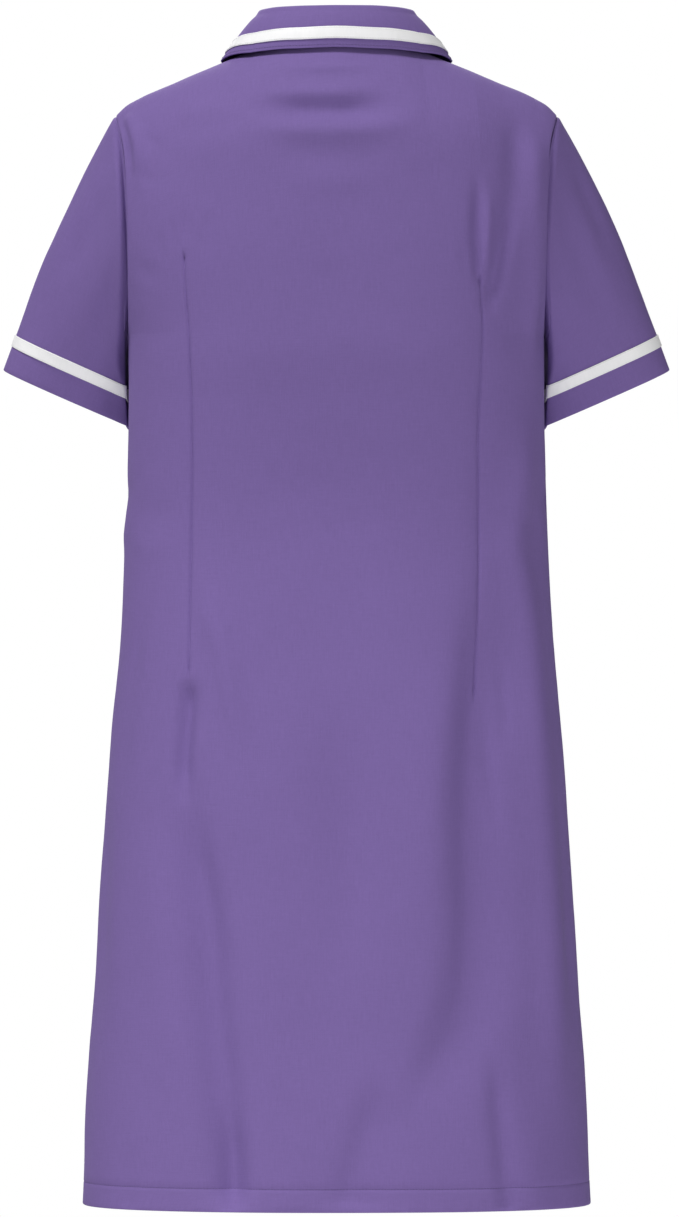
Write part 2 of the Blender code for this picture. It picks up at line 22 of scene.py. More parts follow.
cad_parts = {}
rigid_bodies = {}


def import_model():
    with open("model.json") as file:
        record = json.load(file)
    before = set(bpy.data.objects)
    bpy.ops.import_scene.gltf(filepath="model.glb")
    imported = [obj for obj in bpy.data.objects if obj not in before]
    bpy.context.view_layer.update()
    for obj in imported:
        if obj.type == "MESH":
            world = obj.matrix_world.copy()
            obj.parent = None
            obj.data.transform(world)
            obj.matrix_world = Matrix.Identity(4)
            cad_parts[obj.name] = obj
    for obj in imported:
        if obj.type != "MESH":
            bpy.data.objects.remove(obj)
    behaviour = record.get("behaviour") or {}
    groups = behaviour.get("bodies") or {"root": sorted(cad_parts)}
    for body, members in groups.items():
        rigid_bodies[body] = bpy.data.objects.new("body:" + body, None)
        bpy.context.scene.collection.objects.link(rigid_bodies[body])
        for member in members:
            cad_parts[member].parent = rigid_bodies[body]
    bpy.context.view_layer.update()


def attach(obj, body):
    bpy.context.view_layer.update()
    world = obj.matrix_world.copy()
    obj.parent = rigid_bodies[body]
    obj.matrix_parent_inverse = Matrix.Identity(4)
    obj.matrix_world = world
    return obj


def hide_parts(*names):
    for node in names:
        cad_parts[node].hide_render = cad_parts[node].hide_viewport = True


LOG = logging.getLogger("dress")
BODY = "root"
UV_NAME = "cloth"
TINY = 1e-12
SMALL = 1e-9
SEAM_SINK = 0.0016
SEAM_REACH = 0.0032
MIRROR = np.array([-1.0, 1.0, 1.0])


class Side(Enum):
    """The back or the front of the body of the dress, with the way it faces along Y."""

    BACK = 1
    FRONT = -1


class Seen(Enum):
    """The direction that a crease's places are read from, as a vector in plan."""

    BACK = (0.0, 1.0)
    FRONT = (0.0, -1.0)
    LEFT = (1.0, 0.0)
    RIGHT = (-1.0, 0.0)


class Held(Enum):
    """How a sheet of cloth is held."""

    HUNG = "hung"
    FOLDED = "folded"


def ease(t: Any) -> Any:
    """0 to 1 with level ends, for a number or an array."""
    t = np.clip(t, 0.0, 1.0)
    return t * t * (3 - 2 * t)


def falling(rise: Any, power: Any) -> Any:
    """The share of its depth that a panel keeps at a share of its rise."""
    return np.maximum(0.0, 1 - np.clip(rise, 0, 1) ** power) ** (1 / power)


def lengths_along(points: np.ndarray) -> np.ndarray:
    """Running lengths along the last but one axis of an array of points, from 0."""
    steps = np.linalg.norm(np.diff(points, axis=-2), axis=-1)
    start = np.zeros(steps.shape[:-1] + (1,))
    return np.concatenate([start, np.cumsum(steps, axis=-1)], axis=-1)


def lengths_round(points: np.ndarray) -> np.ndarray:
    """Lengths along closed rows of points, back to where each starts."""
    return lengths_along(np.concatenate([points, points[:, :1]], axis=1))


def unit(vectors: np.ndarray) -> np.ndarray:
    """Vectors of length 1."""
    size = np.linalg.norm(vectors, axis=-1, keepdims=True)
    return vectors / np.maximum(size, TINY)


@dataclass(frozen=True)
class SoftCurve:
    """A soft curve through points whose places rise."""

    places: tuple[float, ...]
    values: tuple[float, ...]
    level_end: bool = False

    @classmethod
    def of(
        cls, rows: Sequence[Any], key: str, name: str, level_end: bool = False
    ) -> "SoftCurve":
        """The curve through one named column of a table against another.

        Args:
            rows: The table's rows.
            key: The column of places.
            name: The column of values.
            level_end: Whether the curve arrives level at its last place.

        Returns:
            The curve.
        """
        places = tuple(float(getattr(row, key)) for row in rows)
        values = tuple(float(getattr(row, name)) for row in rows)
        return cls(places, values, level_end)

    def __call__(self, at: Any) -> Any:
        """The curve's height.

        Args:
            at: A place or an array of places.

        Returns:
            The heights, in the same shape.
        """
        xs = np.array(self.places)
        ys = np.array(self.values)
        slopes = np.gradient(ys, xs)
        if self.level_end:
            slopes[-1] = 0.0
        at = np.clip(at, xs[0], xs[-1])
        i = np.clip(np.searchsorted(xs, at) - 1, 0, len(xs) - 2)
        step = xs[i + 1] - xs[i]
        t = (at - xs[i]) / step
        start = ys[i] * (1 + 2 * t) + slopes[i] * step * t
        end = ys[i + 1] * (3 - 2 * t) - slopes[i + 1] * step * (1 - t)
        return start * (1 - t) ** 2 + end * t**2


class Level(NamedTuple):
    """One level section of the body of the dress."""

    z: float
    half_width: float
    back_depth: float
    front_depth: float


class ArmholeRow(NamedTuple):
    """How far out the armhole's seam lies at a height."""

    z: float
    half_width: float


class RidgeRow(NamedTuple):
    """The shoulder line's height at a distance from the centre, carried on across the neck."""

    x: float
    back_z: float
    front_z: float


class DartRow(NamedTuple):
    """The distance of a dart from the centre at a height."""

    z: float
    x: float


LEVELS = (
    Level(-1.025, 0.2285, 0.126, 0.124),
    Level(-0.900, 0.2218, 0.124, 0.120),
    Level(-0.760, 0.2135, 0.122, 0.115),
    Level(-0.620, 0.2037, 0.118, 0.109),
    Level(-0.510, 0.1945, 0.106, 0.104),
    Level(-0.410, 0.1895, 0.098, 0.106),
    Level(-0.310, 0.1870, 0.108, 0.130),
    Level(-0.245, 0.1870, 0.116, 0.132),
)
ARMHOLE = (
    ArmholeRow(-0.245, 0.1870),
    ArmholeRow(-0.134, 0.1880),
    ArmholeRow(-0.105, 0.1897),
    ArmholeRow(-0.078, 0.1926),
    ArmholeRow(-0.047, 0.1990),
)
# The first row repeats the third across the centre, so that the line is level there.
RIDGE = (
    RidgeRow(-0.040, 0.0270, 0.0180),
    RidgeRow(0.000, 0.0350, 0.0130),
    RidgeRow(0.040, 0.0270, 0.0180),
    RidgeRow(0.074, 0.0130, 0.0130),
    RidgeRow(0.105, 0.0, 0.0),
    RidgeRow(0.145, -0.0170, -0.0170),
    RidgeRow(0.178, -0.0312, -0.0312),
    RidgeRow(0.190, -0.0383, -0.0383),
    RidgeRow(0.199, -0.0470, -0.0470),
)
BACK_DART_LEFT = (
    DartRow(-0.548, 0.1318),
    DartRow(-0.422, 0.1300),
    DartRow(-0.333, 0.1291),
    DartRow(-0.257, 0.1318),
    DartRow(-0.176, 0.1371),
)
BACK_DART_RIGHT = (
    DartRow(-0.569, 0.1264),
    DartRow(-0.422, 0.1273),
    DartRow(-0.333, 0.1264),
    DartRow(-0.228, 0.1300),
    DartRow(-0.195, 0.1282),
)
FRONT_DART = (
    DartRow(-0.540, 0.0930),
    DartRow(-0.410, 0.0900),
    DartRow(-0.300, 0.0940),
)


@dataclass(frozen=True)
class BodyForm:
    """The smooth form under the back and the fronts, without seams or creases."""

    hem_z: float = -1.025
    underarm_z: float = -0.245
    shoulder_tip_z: float = -0.047
    squareness: float = 2.4
    back_squareness: float = 2.8
    shoulder_squareness: float = 2.6
    chest_squareness: float = 1.75
    chest_half_width: float = 0.120
    ridge_y: float = 0.004
    neck_half_width: float = 0.074
    neck_back_reach: float = 0.054
    neck_front_reach: float = 0.084
    armhole_back_bulge: float = 0.056
    armhole_front_bulge: float = 0.052
    last_yoke_rise: float = 0.998
    most_yoke_share: float = 0.95
    top_pull_power: float = 3.0
    neck_share: float = 0.375
    dart_share: float = 0.62
    step: float = 1e-4

    def depth_at(self, side: Side, z: Any) -> Any:
        """How far the panel stands from the middle of the dress at a height."""
        name = "back_depth" if side is Side.BACK else "front_depth"
        return SoftCurve.of(LEVELS, "z", name, level_end=True)(z)

    def half_width_at(self, z: Any) -> Any:
        """Half the width of the body of the dress at a height."""
        return SoftCurve.of(LEVELS, "z", "half_width")(z)

    def armhole_x(self, z: Any) -> Any:
        """How far out the armhole's seam lies at a height."""
        return SoftCurve.of(ARMHOLE, "z", "half_width")(z)

    def ridge_z(self, side: Side, x: Any) -> Any:
        """The height of the shoulder line at a distance from the centre."""
        name = "back_z" if side is Side.BACK else "front_z"
        return SoftCurve.of(RIDGE, "x", name)(np.abs(x))

    def panel_power(self, side: Side, x: Any) -> Any:
        """The power of the curve that a panel follows up to the shoulder line."""
        if side is Side.BACK:
            return np.full(np.shape(x), self.back_squareness)
        share = ease(x / self.chest_half_width)
        return self.chest_squareness + (self.shoulder_squareness - self.chest_squareness) * share

    def dart_x(self, side: Side, z: Any, hand: Any = 1.0) -> Any:
        """The dart's distance from the centre at a height, on the left (1) or the right (-1)."""
        if side is Side.FRONT:
            return SoftCurve.of(FRONT_DART, "z", "x")(z)
        left = SoftCurve.of(BACK_DART_LEFT, "z", "x")(z)
        right = SoftCurve.of(BACK_DART_RIGHT, "z", "x")(z)
        return np.where(np.asarray(hand) > 0, left, right)

    def yoke_section(self, side: Side, rise: Any) -> tuple[Any, Any]:
        """The curve that the armhole cuts short.

        Args:
            side: The back or the front.
            rise: The share of the way from the underarm to the shoulder.

        Returns:
            The curve's half width, and its turn where the armhole ends it.
        """
        rise = np.minimum(rise, self.last_yoke_rise)
        back = side is Side.BACK
        bulge = self.armhole_back_bulge if back else self.armhole_front_bulge
        z = self.underarm_z + (self.shoulder_tip_z - self.underarm_z) * rise
        edge_y = bulge * 2 * np.sqrt(rise * (1 - rise))
        keep = falling(rise, self.back_squareness if back else self.shoulder_squareness)
        share = edge_y / keep / self.depth_at(side, self.underarm_z)
        share = np.minimum(share, self.most_yoke_share)
        cut = (1 - share**self.squareness) ** (1 / self.squareness)
        return self.armhole_x(z) / cut, np.arcsin(cut ** (self.squareness / 2))

    def across(
        self, side: Side, share: Any, half_width: Any, end_turn: Any, z: Any, hand: Any = 1.0
    ) -> Any:
        """The distance from the centre of a place on a level section.

        Args:
            side: The back or the front.
            share: The share of the way across the panel, from 0 at the centre.
            half_width: The section's half width.
            end_turn: The section's last turn.
            z: The section's height.
            hand: 1 on the wearer's left and -1 on the right.

        Returns:
            The distances along X.
        """
        dart_turn = np.arcsin((self.dart_x(side, z, hand) / half_width) ** (self.squareness / 2))
        near = dart_turn * share / self.dart_share
        past = (share - self.dart_share) / (1 - self.dart_share)
        far = dart_turn + (end_turn - dart_turn) * past
        turn = np.where(share < self.dart_share, near, far)
        return half_width * np.sin(turn) ** (2 / self.squareness)

    def top_x(self, share: Any) -> Any:
        """The distance from the centre of a panel's upper edge."""
        turn = np.pi / 2 * np.minimum(share / self.neck_share, 1)
        along = np.maximum(share - self.neck_share, 0) / (1 - self.neck_share)
        tip = ARMHOLE[-1].half_width
        return self.neck_half_width * np.sin(turn) + (tip - self.neck_half_width) * along

    def top_rise(self, side: Side, share: Any, depth: Any) -> Any:
        """Where the neck cuts a column of the panel off, as a share of its rise."""
        turn = np.pi / 2 * np.minimum(share / self.neck_share, 1)
        reach = self.neck_back_reach if side is Side.BACK else self.neck_front_reach
        reach = reach * np.cos(turn)
        x = self.neck_half_width * np.sin(turn)
        cut = falling(reach / np.maximum(depth, SMALL), self.panel_power(side, x))
        return np.where(share >= self.neck_share, 1.0, cut)

    def place(self, side: Side, share: Any, climb: Any) -> np.ndarray:
        """Points of the form.

        Args:
            side: The back or the front.
            share: 0 at the centre, 1 at the wearer's left side, negative past the centre.
            climb: 0 at the hem, 1 at the underarm and 2 at the top.

        Returns:
            The points, with a last axis of three.
        """
        share, climb = np.broadcast_arrays(np.asarray(share, float), np.asarray(climb, float))
        hand = np.where(share < 0, -1.0, 1.0)
        share = np.abs(share)
        power = self.squareness
        low_z = self.hem_z + (self.underarm_z - self.hem_z) * np.minimum(climb, 1)
        low_width = self.half_width_at(low_z)
        low_x = self.across(side, share, low_width, np.pi / 2, low_z, hand)
        low_y = self.depth_at(side, low_z) * falling(low_x / low_width, power)
        row = np.clip(climb - 1, 0, 1)
        depth = self.depth_at(side, self.underarm_z)
        half_width, end_turn = self.yoke_section(side, row)
        level = self.underarm_z + (self.shoulder_tip_z - self.underarm_z) * row
        x = self.across(side, share, half_width, end_turn, level, hand)
        last_width, last_turn = self.yoke_section(side, 1.0)
        last_x = self.across(side, share, last_width, last_turn, self.shoulder_tip_z, hand)
        round_y = depth * falling(x / half_width, power)
        x = x + (self.top_x(share) - last_x) * row**self.top_pull_power
        rise = row * self.top_rise(side, share, round_y)
        y = self.ridge_y * rise
        y = y + side.value * round_y * falling(rise, self.panel_power(side, x))
        z = self.underarm_z + (self.ridge_z(side, x) - self.underarm_z) * rise
        low = climb <= 1
        return np.stack([
            hand * np.where(low, low_x, x),
            np.where(low, side.value * low_y, y),
            np.where(low, low_z, z),
        ], axis=-1)

    def facing(self, side: Side, share: Any, climb: Any) -> np.ndarray:
        """Outward unit normals of the form at the places that place() takes."""
        share, climb = np.broadcast_arrays(np.asarray(share, float), np.asarray(climb, float))
        right = self.place(side, np.minimum(share + self.step, 1), climb)
        left = self.place(side, share - self.step, climb)
        above = self.place(side, share, np.minimum(climb + self.step, 2))
        below = self.place(side, share, np.maximum(climb - self.step, 0))
        return unit(np.cross(right - left, above - below) * -side.value)


class Crease(NamedTuple):
    """A soft trough or ridge through places on a form; out is negative for a trough."""

    route: tuple[tuple[float, float], ...]
    out: float
    width: float
    fade_in: float = 0.4
    fade_out: float = 0.4
    power: float = 2.0
    lean: float = 0.0


class CreaseLine:
    """A crease laid on its form as a chain of short segments."""

    SEGMENTS = 20
    REACH = 3.0

    def __init__(self, crease: Crease, anchors: np.ndarray) -> None:
        """Smooths the crease's route.

        Args:
            crease: The crease's sizes.
            anchors: Its places as points on the form.
        """
        self.crease = crease
        along = tuple(lengths_along(anchors))
        shares = np.linspace(0, 1, self.SEGMENTS + 1)
        at = shares * along[-1]
        axes = [SoftCurve(along, tuple(anchors[:, axis]))(at) for axis in range(3)]
        self.points = np.stack(axes, axis=-1)
        self.shares = shares

    def heights(self, points: np.ndarray, normals: np.ndarray) -> np.ndarray:
        """How far the crease lifts the cloth at each point.

        Args:
            points: Points of the form, one a row.
            normals: The form's outward normals there.

        Returns:
            One height a point.
        """
        crease = self.crease
        reach = self.REACH * crease.width * (1 + abs(crease.lean))
        low = self.points.min(axis=0) - reach
        high = self.points.max(axis=0) + reach
        near = np.flatnonzero(np.all((points > low) & (points < high), axis=1))
        made = np.zeros(len(points))
        if not len(near):
            return made
        here = points[near]
        best = np.full(len(near), np.inf)
        share = np.zeros(len(near))
        side = np.zeros(len(near))
        for i in range(self.SEGMENTS):
            start = self.points[i]
            run = self.points[i + 1] - start
            offset = here - start
            t = np.clip(offset @ run / max(run @ run, TINY), 0, 1)
            offset = offset - t[:, None] * run
            away = np.linalg.norm(offset, axis=1)
            closer = away < best
            best = np.where(closer, away, best)
            share = np.where(closer, self.shares[i] + t / self.SEGMENTS, share)
            turned_to = np.sum(np.cross(run, offset) * normals[near], axis=1)
            side = np.where(closer, np.sign(turned_to), side)
        width = crease.width * (1 + crease.lean * side)
        ends = ease(share / crease.fade_in) * ease((1 - share) / crease.fade_out)
        made[near] = crease.out * ends * np.exp(-((best / width) ** crease.power))
        return made


class Unevenness(NamedTuple):
    """A gentle, irregular wave over cloth: its wavelength, its height and its seed."""

    length: float
    height: float
    seed: float


UNEVEN = (
    Unevenness(0.110, 0.00110, 3.1),
    Unevenness(0.045, 0.00032, 7.7),
    Unevenness(0.016, 0.00012, 12.3),
)


def unevenness(points: np.ndarray, waves: Sequence[Unevenness] = UNEVEN) -> np.ndarray:
    """The cloth's slight irregular heights.

    Args:
        points: Points, in any grid.
        waves: The waves that are added up.

    Returns:
        One height a point, in the same grid.
    """
    flat = points.reshape(-1, 3)
    made = np.zeros(len(flat))
    for wave in waves:
        shift = Vector((wave.seed, -wave.seed, 2 * wave.seed))
        values = [noise.noise(Vector(p) + shift) for p in flat / wave.length]
        made += wave.height * np.array(values)
    return made.reshape(points.shape[:-1])


@dataclass(frozen=True)
class Lap:
    """How the right front lies over the left one."""

    reach: float = 0.015
    lift: float = 0.0028
    rise_from: float = -0.045
    rise: float = 0.025

    def lift_at(self, x: Any) -> Any:
        """How far the right front stands off the form."""
        return self.lift * ease((x - self.rise_from) / self.rise)


LAP = Lap()


@dataclass(frozen=True)
class Tape:
    """A flat tape laid on the cloth beside an edge, and its two lines of stitches."""

    rise: float
    width: float
    length: float
    pucker: float
    waves: tuple[float, float]
    thread_lift: float
    cloth: float = 0.0006
    lift: float = 0.0003
    rim: float = 0.0002
    rows: int = 6
    thread_inset: float = 0.0011

    def puckers(self, points: np.ndarray) -> np.ndarray:
        """The slight waves that its stitches draw in it."""
        waves = [Unevenness(wave, self.pucker, seed) for wave, seed in zip(self.waves, (4.4, 9.2))]
        return np.abs(unevenness(points, waves))

    def sewn(self, node: str, rests: str) -> "Sewn":
        """What is said of it as a sheet that lies on another."""
        cut = Cut(self.length, self.width)
        return Sewn(self.cloth, "tape", (node,), cut, (rests,), offset=1.0, rim=self.rim)


def seam_dip(away: Any, sink: float) -> Any:
    """How far the cloth dips at a distance from its seam."""
    return sink * np.clip(1 - away / SEAM_REACH, 0, 1) ** 2


class FoldRow(NamedTuple):
    """A row of a turned edge: its distance from the edge, and how far inside it lies."""

    along: float
    inward: float


@dataclass(frozen=True)
class TurnedEdge:
    """An edge turned up inside the cloth and held by one line of stitches."""

    turn: float
    cloth: float = 0.0008
    air: float = 0.0003
    groove: float = 0.0005
    groove_reach: float = 0.0012
    slope_along: float = 0.45
    slope_depth: float = 0.6
    shoulder: float = 0.0011
    shoulder_near: float = 0.3
    raw_step: float = 0.003
    inside_shares: tuple[float, ...] = (0.5, 0.22)
    outside_shares: tuple[float, ...] = (0.22, 0.42, 0.62, 0.82)
    fold_shares: tuple[float, ...] = (0.86, 0.5, 0.14)

    def rows(self) -> list[FoldRow]:
        """The rows from the raw edge inside, round the fold, to just past the stitches."""
        inside = 2 * self.cloth + self.air
        near = self.shoulder * self.shoulder_near
        turned_up = [FoldRow(self.turn, inside), FoldRow(self.turn - self.raw_step, inside)]
        turned_up += [FoldRow(self.turn * share, inside) for share in self.inside_shares]
        round_fold = zip((near, 0.0, near), self.fold_shares)
        fold = [
            FoldRow(self.shoulder, inside),
            *(FoldRow(along, inside * share) for along, share in round_fold),
            FoldRow(self.shoulder, 0.0),
        ]
        outside = [FoldRow(self.turn * share, 0.0) for share in self.outside_shares]
        reach, slope = self.groove_reach, self.groove_reach * self.slope_along
        part_deep = self.groove * self.slope_depth
        stitched = [
            FoldRow(self.turn - reach, 0.0),
            FoldRow(self.turn - slope, part_deep),
            FoldRow(self.turn, self.groove),
            FoldRow(self.turn + slope, part_deep),
            FoldRow(self.turn + reach, 0.0),
        ]
        return turned_up + fold + outside + stitched


@dataclass
class SheetGrid:
    """A grid of cloth: points by row and column, with flat coordinates for its weave."""

    points: np.ndarray
    flat: np.ndarray
    closed: bool = False

    def mesh(self, name: str, outward: np.ndarray) -> bpy.types.Mesh:
        """The grid as an open sheet of faces that point out.

        Args:
            name: The mesh's name.
            outward: Roughly outward vectors, one for each point.

        Returns:
            The mesh, with its flat coordinates as a UV map.
        """
        rows, columns = self.points.shape[:2]
        last = columns if self.closed else columns - 1
        i, j = np.meshgrid(np.arange(rows - 1), np.arange(last), indexing="ij")
        k = (j + 1) % columns
        corners = [(i, j, j), (i, k, j + 1), (i + 1, k, j + 1), (i + 1, j, j)]
        faces = np.stack([a * columns + b for a, b, _ in corners], axis=-1).reshape(-1, 4)
        flat = np.stack([self.flat[a, c] for a, _, c in corners], axis=-2).reshape(-1, 4, 2)
        points = self.points.reshape(-1, 3)
        a, b, d = (points[faces[:, n]] for n in (0, 1, 3))
        agrees = np.sum(np.cross(b - a, d - a) * outward.reshape(-1, 3)[faces[:, 0]])
        if agrees < 0:
            faces = faces[:, ::-1]
            flat = flat[:, ::-1]
        mesh = bpy.data.meshes.new(name)
        mesh.from_pydata(points.tolist(), [], faces.tolist())
        layer = mesh.uv_layers.new(name=UV_NAME)
        layer.data.foreach_set("uv", np.ascontiguousarray(flat, np.float32).ravel())
        mesh.shade_smooth()
        mesh.update()
        return mesh


@dataclass(frozen=True)
class Cut:
    """The size that a sheet of cloth was cut to."""

    width: float
    length: float
    area: float | None = None


@dataclass(frozen=True)
class Sewn:
    """What a sheet becomes: its wall, its slot, the nodes it stands for and how it's held."""

    wall: float
    slot: str
    nodes: tuple[str, ...]
    cut: Cut
    rests: tuple[str, ...]
    held: Held = Held.HUNG
    offset: float = -1.0
    rim: float = 0.0


def mesh_of(model: bmesh.types.BMesh, name: str) -> bpy.types.Mesh:
    """A model as a mesh; the model is freed."""
    mesh = bpy.data.meshes.new(name)
    model.to_mesh(mesh)
    model.free()
    return mesh


class Maker:
    """Turns meshes into pieces of the dress."""

    @staticmethod
    def add(name: str, mesh: bpy.types.Mesh, material: bpy.types.Material) -> bpy.types.Object:
        """Links a mesh to the scene as an object with one material."""
        piece = bpy.data.objects.new(name, mesh)
        mesh.materials.clear()
        mesh.materials.append(material)
        bpy.context.scene.collection.objects.link(piece)
        return piece

    @staticmethod
    def wall(piece: bpy.types.Object, thickness: float, offset: float) -> None:
        """Gives an open sheet its thickness, on one side of its faces or both."""
        solid = piece.modifiers.new("Wall", "SOLIDIFY")
        solid.thickness = thickness
        solid.offset = offset
        solid.use_even_offset = False
        solid.use_quality_normals = True

    @staticmethod
    def soften(piece: bpy.types.Object, width: float) -> None:
        """Rounds a wall's rims."""
        bevel = piece.modifiers.new("Rims", "BEVEL")
        bevel.width = width
        bevel.segments = 2
        bevel.limit_method = "ANGLE"
        bevel.angle_limit = math.radians(62)

    @staticmethod
    def settle(piece: bpy.types.Object, slot: str, nodes: Sequence[str] = ()) -> None:
        """Rides a piece on the dress and hides the nodes it stands for."""
        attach(piece, BODY)
        if nodes:
            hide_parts(*nodes)
        LOG.info("%s: %d faces", piece.name, len(piece.data.polygons))

    @staticmethod
    def declare(piece: bpy.types.Object, cut: Cut, held: Held, rests: Sequence[str]) -> None:
        """Takes a sheet's cut and what it hangs from or lies on, and does nothing with them."""

    @classmethod
    def sheet(cls, mesh: bpy.types.Mesh, finish: bpy.types.Material, sewn: Sewn) -> None:
        """Makes a finished sheet of an open mesh."""
        piece = cls.add(mesh.name, mesh, finish)
        cls.wall(piece, sewn.wall, sewn.offset)
        if sewn.rim:
            cls.soften(piece, sewn.rim)
        cls.settle(piece, sewn.slot, sewn.nodes)
        cls.declare(piece, sewn.cut, sewn.held, sewn.rests)


def make_node(
    tree: bpy.types.NodeTree, kind: str, settings: dict[str, Any], inputs: dict[Any, Any]
) -> bpy.types.Node:
    """Adds any node.

    Args:
        tree: The tree that takes it.
        kind: The node's type.
        settings: Its properties, set first.
        inputs: Its sockets' values or links, by name or by place.

    Returns:
        The node.
    """
    made = tree.nodes.new(kind)
    for name, value in settings.items():
        setattr(made, name, value)
    for name, value in inputs.items():
        feed(tree, made.inputs[name], value)
    return made


def feed(tree: bpy.types.NodeTree, target: bpy.types.NodeSocket, value: Any) -> None:
    """Links a socket, or sets its value."""
    if isinstance(value, Socket):
        value = value.socket
    if isinstance(value, bpy.types.NodeSocket):
        tree.links.new(value, target)
    else:
        target.default_value = value


class Socket:
    """A shader socket that takes part in arithmetic."""

    def __init__(self, shader: "Shader", socket: bpy.types.NodeSocket) -> None:
        """Wraps a socket of a shader's tree."""
        self.shader = shader
        self.socket = socket

    def _math(self, operation: str, first: Any, second: Any) -> "Socket":
        """One Math node."""
        settings = {"operation": operation}
        return self.shader.node("ShaderNodeMath", settings, {0: first, 1: second})

    def __add__(self, other: Any) -> "Socket":
        """Adds."""
        return self._math("ADD", self, other)

    def __radd__(self, other: Any) -> "Socket":
        """Adds to a number."""
        return self._math("ADD", other, self)

    def __sub__(self, other: Any) -> "Socket":
        """Subtracts."""
        return self._math("SUBTRACT", self, other)

    def __mul__(self, other: Any) -> "Socket":
        """Multiplies."""
        return self._math("MULTIPLY", self, other)

    def sine(self) -> "Socket":
        """The sine."""
        return self.shader.node("ShaderNodeMath", {"operation": "SINE"}, {0: self})

    def size(self) -> "Socket":
        """The absolute value."""
        return self.shader.node("ShaderNodeMath", {"operation": "ABSOLUTE"}, {0: self})


class Shader:
    """One material's node tree around its Principled shader."""

    def __init__(self, name: str) -> None:
        """Makes the material."""
        self.material = bpy.data.materials.new(name)
        self.material.use_nodes = True
        self.tree = self.material.node_tree
        self.surface = self.tree.nodes["Principled BSDF"]

    def node(
        self,
        kind: str,
        settings: dict[str, Any] | None = None,
        inputs: dict[Any, Any] | None = None,
        output: Any = 0,
    ) -> Socket:
        """Adds a node as make_node() does, and gives the wanted one of its outputs."""
        made = make_node(self.tree, kind, settings or {}, inputs or {})
        return Socket(self, made.outputs[output])

    def dress(self, **values: Any) -> bpy.types.Material:
        """Feeds the surface's sockets, with underscores for the spaces of their names."""
        for name, value in values.items():
            feed(self.tree, self.surface.inputs[name.replace("_", " ")], value)
        return self.material

    def flat_place(self) -> tuple[Socket, Socket]:
        """The two flat coordinates of the cloth, in metres."""
        place = self.node("ShaderNodeUVMap", {"uv_map": UV_NAME})
        u = self.node("ShaderNodeSeparateXYZ", inputs={0: place}, output=0)
        v = self.node("ShaderNodeSeparateXYZ", inputs={0: place}, output=1)
        return u, v

    def join(self, x: Any, y: Any, z: Any) -> Socket:
        """A vector of three values."""
        return self.node("ShaderNodeCombineXYZ", inputs={0: x, 1: y, 2: z})

    def mottle(self, vector: Socket, scale: float, detail: float = 2.0) -> Socket:
        """Noise from -1 to 1."""
        inputs = {"Vector": vector, "Scale": scale, "Detail": detail, "Roughness": 0.55}
        return self.node("ShaderNodeTexNoise", inputs=inputs) * 2 - 1

    def shaded(self, colour: tuple[float, float, float], factor: Socket) -> Socket:
        """A colour made lighter or darker by a factor."""
        settings = {"operation": "SCALE"}
        return self.node("ShaderNodeVectorMath", settings, {0: colour, "Scale": factor})

    def bump(self, height: Socket, distance: float, strength: float = 1.0) -> Socket:
        """A bumped normal."""
        inputs = {"Height": height, "Distance": distance, "Strength": strength}
        return self.node("ShaderNodeBump", inputs=inputs)


@dataclass(frozen=True)
class WovenFinish:
    """A plain-woven cloth with slight slubs in its warp and its weft."""

    name: str
    colour: tuple[float, float, float]
    yarn: float = 0.00045
    warp_slub: tuple[float, float] = (1150.0, 55.0)
    weft_slub: tuple[float, float] = (48.0, 1250.0)
    warp_depth: float = 0.085
    weft_depth: float = 0.060
    speck_scale: float = 950.0
    speck_depth: float = 0.055
    fleck_scale: float = 310.0
    fleck_depth: float = 0.050
    cloud_scale: float = 9.0
    cloud_depth: float = 0.028
    roughness: float = 0.80
    sheen: float = 0.02
    specular: float = 0.08
    weave_height: float = 0.00007
    slub_height: float = 0.00012
    weft_height_share: float = 0.7
    bump: float = 0.6
    rough_depth: float = 0.05

    def build(self) -> bpy.types.Material:
        """Makes the material."""
        shader = Shader(self.name)
        u, v = shader.flat_place()
        warp = shader.mottle(shader.join(u * self.warp_slub[0], v * self.warp_slub[1], 0), 1.0)
        weft = shader.mottle(shader.join(u * self.weft_slub[0], v * self.weft_slub[1], 5), 1.0)
        speck = shader.mottle(shader.join(u, v, 0), self.speck_scale, 1.0)
        fleck = shader.mottle(shader.join(u, v, 7), self.fleck_scale, 2.0)
        cloud = shader.mottle(shader.join(u, v, 9), self.cloud_scale, 3.0)
        slubs = warp * self.warp_depth + weft * self.weft_depth
        spots = speck * self.speck_depth + fleck * self.fleck_depth
        factor = 1 + slubs + spots + cloud * self.cloud_depth
        across = (u * (math.pi / self.yarn)).sine()
        along = (v * (math.pi / self.yarn)).sine()
        over = across * along
        weave = (across.size() + along.size()) * 0.5 + over * (across.size() - along.size()) * 0.5
        height = weave * (self.weave_height / self.slub_height) + warp
        height = height + weft * self.weft_height_share
        return shader.dress(
            Base_Color=shader.shaded(self.colour, factor),
            Normal=shader.bump(height, self.slub_height, self.bump),
            Roughness=self.roughness + speck * self.rough_depth,
            Metallic=0.0,
            Sheen_Weight=self.sheen,
            Sheen_Roughness=0.5,
            Specular_IOR_Level=self.specular,
        )


